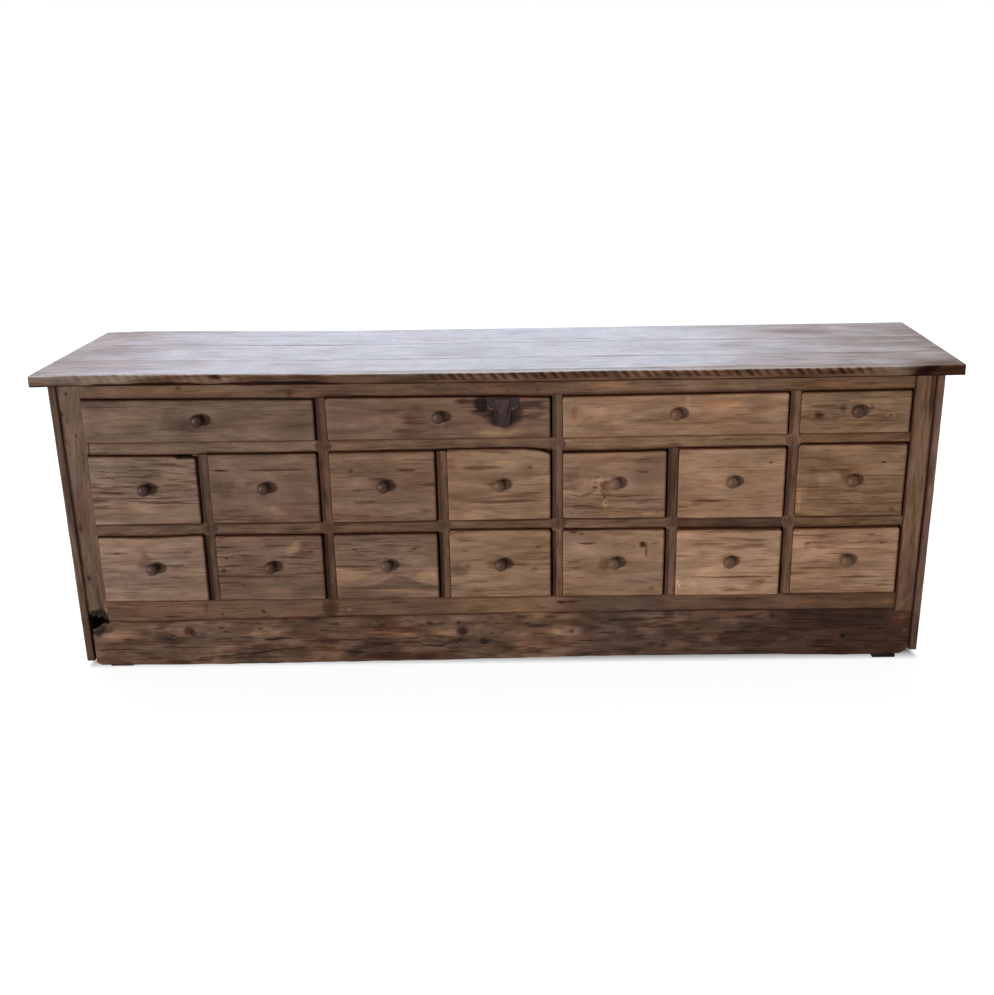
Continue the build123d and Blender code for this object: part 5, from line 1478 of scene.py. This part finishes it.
def solid_between(work, first, second, bevel):
    """Closes two outlines of a mesh into a solid with soft edges, and gives the solid's points."""
    faces = [work.faces.new(first[::-1]), work.faces.new(second)]
    count = len(first)
    for i in range(count):
        j = (i + 1) % count
        faces.append(work.faces.new((first[i], first[j], second[j], second[i])))
    bmesh.ops.recalc_face_normals(work, faces=faces)
    edges = list({edge for face in faces for edge in face.edges})
    result = bmesh.ops.bevel(work, geom=edges, offset=bevel, segments=2, profile=0.6, affect="EDGES")
    return {corner for face in (*result["faces"], *faces) if face.is_valid for corner in face.verts}


def sawn_board(work, outline, axis, start, thickness, grain_axis, colour, seed):
    """Adds a plain board to a mesh: an outline in the plane across an axis, given a thickness along it."""
    def points(depth):
        return [work.verts.new((*pair[:axis], depth, *pair[axis:])) for pair in outline]

    grain = work.verts.layers.float_vector.get("grain") or work.verts.layers.float_vector.new("grain")
    tone = work.verts.layers.float_color.get("tone") or work.verts.layers.float_color.new("tone")
    first = points(start)
    corners = solid_between(work, first, points(start + thickness), SAWN_BEVEL)
    chance = np.random.default_rng(seed)
    shift = grain_shift(chance)
    light = linear(colour) * chance.uniform(0.88, 1.12)
    order = [grain_axis] + [other for other in range(3) if other != grain_axis]
    for corner in corners:
        corner[grain] = Vector([corner.co[source] + shift[i] for i, source in enumerate(order)])
        corner[tone] = (*light, 0.4)


def dovetail_row(root, reach, low, high):
    """A row of tails on a board's end, from its lowest to its highest point."""
    count = max(2, round((high - low) / DOVETAIL_PITCH))
    pitch = (high - low) / count
    half = pitch / 4
    flare = half + abs(reach) * math.tan(DOVETAIL_ANGLE)
    found = []
    for i in range(count):
        middle = low + pitch * (i + 0.5)
        found += [(root, middle - half), (root + reach, middle - flare), (root + reach, middle + flare),
                  (root, middle + half)]
    return found


def rectangle(first, second):
    """The corners between two pairs of limits."""
    return [(first[0], second[0]), (first[1], second[0]), (first[1], second[1]), (first[0], second[1])]


class CABINET_OT_drawer_boxes(bpy.types.Operator):
    """Adds the dovetailed boxes behind the drawer fronts"""

    bl_idname = "cabinet.drawer_boxes"
    bl_label = "Drawer boxes"

    # How far faces are moved at the joints, so that no two of them lie in one plane
    proud = 0.2 * MM

    def execute(self, context):
        for index, (row, number) in enumerate(DRAWERS):
            node = f"drawer_{row}_{number}"
            work = bmesh.new()
            self.box(work, *limits(node), 1000 + 10 * index)
            mesh = bpy.data.meshes.new(f"box_{row}_{number}")
            work.to_mesh(mesh)
            work.free()
            material = shared_wood("worn board")
            add_object(f"box_{row}_{number}", mesh, material, f"{row}_drawer_{number}", [node])
        return {"FINISHED"}

    def box(self, work, low, high, seed):
        """Two sides with tails at both ends, a back and a bottom."""
        front, rear = low[1] + FRONT_THICKNESS, high[1]
        side_z = (low[2], high[2] - SIDE_DROP)
        bottom_z = side_z[0] + BOTTOM_RISE
        floor = bottom_z + BOTTOM_THICKNESS
        back_z = (floor, side_z[1] - BACK_DROP)
        outline = [(front, side_z[0]), (rear, side_z[0]), (rear, back_z[0]), (rear - BOX_BOARD, back_z[0])]
        outline += dovetail_row(rear - BOX_BOARD, BOX_BOARD, *back_z)
        outline += [(rear - BOX_BOARD, back_z[1]), (rear, back_z[1]), (rear, side_z[1]), (front, side_z[1])]
        outline += dovetail_row(front, -DOVETAIL_LENGTH, floor, side_z[1])[::-1]
        outer = (low[0] + self.proud, high[0] - self.proud)
        inner = (low[0] + BOX_BOARD, high[0] - BOX_BOARD)
        back = rectangle(outer, back_z)
        bottom = rectangle(inner, (front, rear - self.proud))
        back_y, back_thickness = rear - BOX_BOARD + self.proud, BOX_BOARD - 2 * self.proud
        for number, board in enumerate((
            (outline, 0, low[0] - self.proud, BOX_BOARD, 1, toned("inner", 0.95, 0.93, 0.92)),
            (outline, 0, high[0] + self.proud - BOX_BOARD, BOX_BOARD, 1, toned("inner", 0.95, 0.93, 0.92)),
            (back, 1, back_y, back_thickness, 0, toned("inner", 0.98, 0.96, 0.94)),
            (bottom, 2, bottom_z, BOTTOM_THICKNESS, 0, toned("inner", 1.04, 1.02, 1.0)),
        )):
            sawn_board(work, *board, seed + number)


class CABINET_OT_knobs(bpy.types.Operator):
    """Adds the turned knobs"""

    bl_idname = "cabinet.knobs"
    bl_label = "Knobs"

    around = 48
    # Share of the radius and share of the length, from the neck out to the middle of the dome
    profile = (
        (0.62, 0.0), (0.6, 0.01), (0.52, 0.08), (0.46, 0.18), (0.455, 0.26), (0.52, 0.34), (0.68, 0.4),
        (0.83, 0.44), (0.93, 0.48), (0.985, 0.53), (1.0, 0.59), (0.99, 0.66), (0.955, 0.73), (0.89, 0.8),
        (0.8, 0.862), (0.7, 0.908), (0.58, 0.942), (0.45, 0.967), (0.32, 0.984), (0.2, 0.994), (0.09, 0.999),
    )
    tints = {
        "upper_1": (0.6, 0.48, 0.39), "upper_2": (0.73, 0.67, 0.59), "upper_3": (1.01, 0.97, 0.88),
        "upper_4": (0.7, 0.6, 0.52), "middle_1": (0.71, 0.58, 0.65), "middle_2": (0.72, 0.66, 0.57),
        "middle_3": (0.72, 0.66, 0.65), "middle_4": (0.97, 0.94, 0.92), "middle_5": (1.2, 1.2, 1.22),
        "middle_6": (1.0, 0.97, 0.93), "middle_7": (0.94, 0.89, 0.76), "lower_1": (0.8, 0.71, 0.67),
        "lower_2": (0.8, 0.73, 0.68), "lower_3": (0.95, 0.94, 0.94), "lower_4": (0.79, 0.74, 0.67),
        "lower_5": (1, 1, 1), "lower_6": (1.03, 1.0, 1.01), "lower_7": (1.04, 1.03, 1.0),
    }

    def execute(self, context):
        for index, (row, number) in enumerate(DRAWERS):
            mesh = self.turned(f"{row}_{number}", 1300 + 10 * index)
            add_object(
                mesh.name, mesh, shared_wood("knob wood"), f"{row}_drawer_{number}",
                [f"knob_{row}_{number}"],
            )
        return {"FINISHED"}

    def turned(self, drawer, seed):
        """A knob's mesh. Hand turning leaves its head slightly off round, with a few worn flats."""
        low, high = limits(f"knob_{drawer}")
        face = limits(f"drawer_{drawer}")[0][1]
        across, up = (low[0] + high[0]) / 2, (low[2] + high[2]) / 2
        radius, length = (high[0] - low[0]) / 2, face - low[1]
        chance = np.random.default_rng(seed)
        turn = np.linspace(0, 2 * np.pi, self.around, endpoint=False)
        rings = np.array(self.profile)
        angle, share = np.meshgrid(turn, rings[:, 0], indexing="xy")
        out = np.repeat(rings[:, 1][:, None], self.around, 1)
        flats = 0.0
        for _ in range(3):
            heading = chance.uniform(0, 2 * np.pi)
            flats = flats + chance.uniform(0.02, 0.05) * np.clip(np.cos(angle - heading), 0, 1) ** 6
        bumpy = 0.03 * (layered(np.cos(angle) * 2 + out * 3, np.sin(angle) * 2, seed) - 0.5)
        size = radius * share * (0.985 - flats * ease(share, 0.5, 0.9) + bumpy)
        tip = 1 - chance.uniform(0.0, 0.03) * (np.cos(angle - chance.uniform(0, 6)) * share + 1) / 2
        points = np.stack([
            across + size * np.cos(angle), face - length * 0.995 * out * tip, up + size * np.sin(angle),
        ], -1).reshape(-1, 3)
        points = np.concatenate([points, [[across, face - length * 0.996, up]]])
        count, rows = self.around, len(rings)
        faces = []
        for start in range(0, (rows - 1) * count, count):
            for i in range(count):
                j = (i + 1) % count
                faces.append((start + i, start + j, start + count + j, start + count + i))
        last = (rows - 1) * count
        faces += [(last + i, last + (i + 1) % count, rows * count) for i in range(count)]
        faces.append(tuple(range(count - 1, -1, -1)))
        mesh = bpy.data.meshes.new(f"turned_knob_{drawer}")
        mesh.from_pydata(points.tolist(), [], faces)
        mesh.shade_smooth()
        mesh.set_sharp_from_angle(angle=math.radians(60))

        # Grime and painted shade darken the neck, painted shade darkens the right side and painted light
        # lifts the left, and hands have polished the dome
        out_share = np.append(out.ravel(), 1.0)
        radial = np.append(share.ravel(), 0.0)
        aside = np.append((share * np.cos(angle)).ravel(), 0.0)
        darkening = 1 - 0.55 * ease(out_share, 0.5, 0.3) - 0.25 * ease(out_share, 0.78, 0.5)
        darkening = darkening * (1 + 0.3 * (layered(points[:, 0] / 0.008, points[:, 2] / 0.008, seed + 2) - 0.5))
        darkening = darkening * (1 - 0.3 * ease(radial, 0.14, 0.05))
        darkening = darkening * (1 - 0.35 * ease(aside, 0.25, 0.9) + 0.25 * ease(aside, -0.2, -0.7))
        tone = np.tile(linear(toned("knob", *self.tints[drawer])), (len(points), 1)) * darkening[:, None]
        tone = np.column_stack([tone, 0.5 + 0.4 * ease(out_share, 0.7, 0.95)])
        write_attributes(mesh, points + grain_shift(chance), tone)
        return mesh


class CABINET_OT_lock_plate(bpy.types.Operator):
    """Adds the old iron lock plate"""

    bl_idname = "cabinet.lock_plate"
    bl_label = "Lock plate"

    def execute(self, context):
        low, high = limits("lock_plate")
        face = limits("drawer_upper_2")[0][1]
        middle, top = (low[0] + high[0]) / 2, high[2]
        wide, tall = (high[0] - low[0]) / 2 / MM, (high[2] - low[2]) / MM
        work = bmesh.new()

        def sheet(outline, near, far, taper=1.0, bevel=0.6):
            """A piece of plate between two heights over the drawer, in millimetres from the top's middle."""
            centre = [sum(values) / len(outline) for values in zip(*outline)]

            def ring(height, scale):
                return [
                    work.verts.new((
                        middle + (centre[0] + (px - centre[0]) * scale) * MM, face - height * MM,
                        top + (centre[1] + (pz - centre[1]) * scale) * MM,
                    )) for px, pz in outline
                ]

            back = ring(far, 1.0)
            solid_between(work, back, ring(near, taper), bevel * MM)

        right = [(0, 0), (wide, 0), (wide, -18), (0.97 * wide, -23), (0.82 * wide, -30), (0.62 * wide, -33),
                 (21, -36), (20, -48), (19, -62), (16.5, -69), (10, -tall), (0, -tall)]
        sheet(right + [(-px, pz) for px, pz in right[-2:0:-1]], 2.5, -0.4)
        tongue = [(-23, -0.5), (23, -0.5), (19, -20), (12, -38), (11, -49), (-11, -49), (-12, -38),
                  (-19, -20)]
        sheet(tongue, 6, 2, 0.82)
        rim = [(0.98 * wide, -21), (0.84 * wide, -27.5), (0.63 * wide, -31), (22, -33.5), (22, -31),
               (0.63 * wide, -28.5), (0.84 * wide, -25), (0.98 * wide, -18)]
        wall = [(20, -34), (16, -34), (14, -68), (18.5, -62)]
        for side in (-1, 1):
            sheet([(side * px, pz) for px, pz in rim], 4.8, 2, bevel=0.4)
            sheet([(side * px, pz) for px, pz in wall], 4.5, 2, bevel=0.4)
        for px, pz in ((wide - 4.5, -15), (16.5, -0.85 * tall)):
            for side in (-1, 1):
                turn = np.linspace(0, 2 * math.pi, 16, endpoint=False)
                head = [(side * px + 2.6 * math.cos(t), pz + 2.6 * math.sin(t)) for t in turn]
                sheet(head, 3.6, 2, 0.6, 0.3)
        mesh = bpy.data.meshes.new("iron_lock_plate")
        work.to_mesh(mesh)
        work.free()

        spots = np.empty(3 * len(mesh.vertices))
        mesh.vertices.foreach_get("co", spots)
        spots = spots.reshape(-1, 3)
        across, below = np.abs(spots[:, 0] - middle) / MM, (top - spots[:, 2]) / MM
        out = (face - spots[:, 1]) / MM
        tone = np.tile(linear(toned("iron", 1.0, 0.8, 0.92)), (len(spots), 1))
        tongue_face = (out > 4.9) & (below < 52)
        rim_face = (across > 21) & (below > 17) & (out > 4.2) & (out < 4.9)
        wall_face = (across < 20.5) & (below > 33) & (out > 3.9) & (out < 4.6)
        tone[tongue_face] *= (1.9, 2.2, 1.6)
        # Painted glints on the rims
        tone[rim_face] *= (5.5, 7.2, 6.2)
        tone[wall_face] *= (0.8, 0.6, 0.75)
        write_attributes(mesh, spots, np.column_stack([tone, np.full(len(tone), 0.5)]))
        spots[:, 1] += (out > 1) * 0.3 * MM * (noise(spots[:, 0] / 0.006, spots[:, 2] / 0.006, 1500) - 0.5)
        mesh.vertices.foreach_set("co", spots.ravel())
        add_object("iron_lock_plate", mesh, iron("old iron"), "upper_drawer_2", ["lock_plate"])
        return {"FINISHED"}


class CABINET_OT_back(bpy.types.Operator):
    """Adds the boards that close the back"""

    bl_idname = "cabinet.back"
    bl_label = "Back boards"

    def execute(self, context):
        low, high = limits("back_boards")
        width = (high[0] - low[0] - (BACK_BOARD_COUNT - 1) * BACK_BOARD_GAP) / BACK_BOARD_COUNT
        size = (high[2] - low[2], width, high[1] - low[1])
        chance = np.random.default_rng(1600)
        boards = []
        for i in range(BACK_BOARD_COUNT):
            light = chance.uniform(0.85, 1.12)
            colour = toned("inner", 0.86 * light, 0.84 * light, 0.84 * light)
            corner = (low[0] + i * (width + BACK_BOARD_GAP), high[1], low[2])
            board = Board(FACING_BACK, corner, size, colour, 1610 + 10 * i, step=(0.008, 0.0045), wear=0.0014)
            board.weather(0.4 * MM, 0.14)
            board.dashes(24, (0.03, 0.97), 0.45, 1611 + 10 * i, length=(0.02, 0.12), width=0.002)
            board.stain(0.0, width / 2, 0.1, 0.2, (0.66, 0.62, 0.6), ragged=0.5)
            board.age()
            boards.append(board)
        material = shared_wood("worn board")
        boards_object("sawn_back_boards", boards, material, "cabinet", ["back_boards"])
        return {"FINISHED"}


class CABINET_OT_inside(bpy.types.Operator):
    """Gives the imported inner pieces, the foot pads and the nails their finish"""

    bl_idname = "cabinet.inside"
    bl_label = "Inside and nails"

    def execute(self, context):
        inner = shade_of("inner")
        # The bearers and foot pads under the cabinet get a near-black tone: painted shade
        dark = toned("inner", 0.2, 0.19, 0.2)
        finishes = [
            (wood("inner wood along", inner, 0), ("back_rails", "bottom_boards")),
            (wood("inner wood inwards", inner, 1), ("drawer_runners", "drawer_guides", "top_battens")),
            (wood("bearer wood", dark, 1), ("base_bearers",)),
            (wood("foot wood", dark, 0), ("foot_pads",)),
            (iron("nail iron", shade_of("iron")), ("nails",)),
        ]
        for material, nodes in finishes:
            for node in nodes:
                piece = frame["nodes"][node]
                if not piece.material_slots:
                    piece.data.materials.append(material)
                for held in piece.material_slots:
                    held.material = material
        return {"FINISHED"}


PIECES = (
    CABINET_OT_stage, CABINET_OT_top_planks, CABINET_OT_sides, CABINET_OT_face_frame, CABINET_OT_plinth,
    CABINET_OT_drawer_fronts, CABINET_OT_drawer_boxes, CABINET_OT_knobs, CABINET_OT_lock_plate,
    CABINET_OT_back, CABINET_OT_inside,
)


class CABINET_PT_panel(bpy.types.Panel):
    """Lists the cabinet's colours, sizes and pieces"""

    bl_idname = "CABINET_PT_panel"
    bl_label = "Workshop drawer cabinet"
    bl_space_type = "VIEW_3D"
    bl_region_type = "UI"
    bl_category = "Cabinet"

    def draw(self, context):
        scene = context.scene
        for group in (scene.cabinet_colours, scene.cabinet_shapes, scene.cabinet_stage):
            box = self.layout.box()
            for name in group.bl_rna.properties.keys():
                if name not in ("rna_type", "name"):
                    box.prop(group, name)
        for piece in PIECES:
            self.layout.operator(piece.bl_idname)


CLASSES = (CabinetColours, CabinetShapes, CabinetStage, *PIECES, CABINET_PT_panel)


def register():
    for item in CLASSES:
        bpy.utils.register_class(item)
    bpy.types.Scene.cabinet_colours = PointerProperty(type=CabinetColours)
    bpy.types.Scene.cabinet_shapes = PointerProperty(type=CabinetShapes)
    bpy.types.Scene.cabinet_stage = PointerProperty(type=CabinetStage)


def unregister():
    for name in ("cabinet_colours", "cabinet_shapes", "cabinet_stage"):
        delattr(bpy.types.Scene, name)
    for item in reversed(CLASSES):
        bpy.utils.unregister_class(item)


def main():
    """Adds every piece in order."""
    register()
    for piece in PIECES:
        group, name = piece.bl_idname.split(".")
        if getattr(getattr(bpy.ops, group), name)() != {"FINISHED"}:
            raise RuntimeError(f"{piece.bl_label} was not finished")


if __name__ == "__main__":
    main()
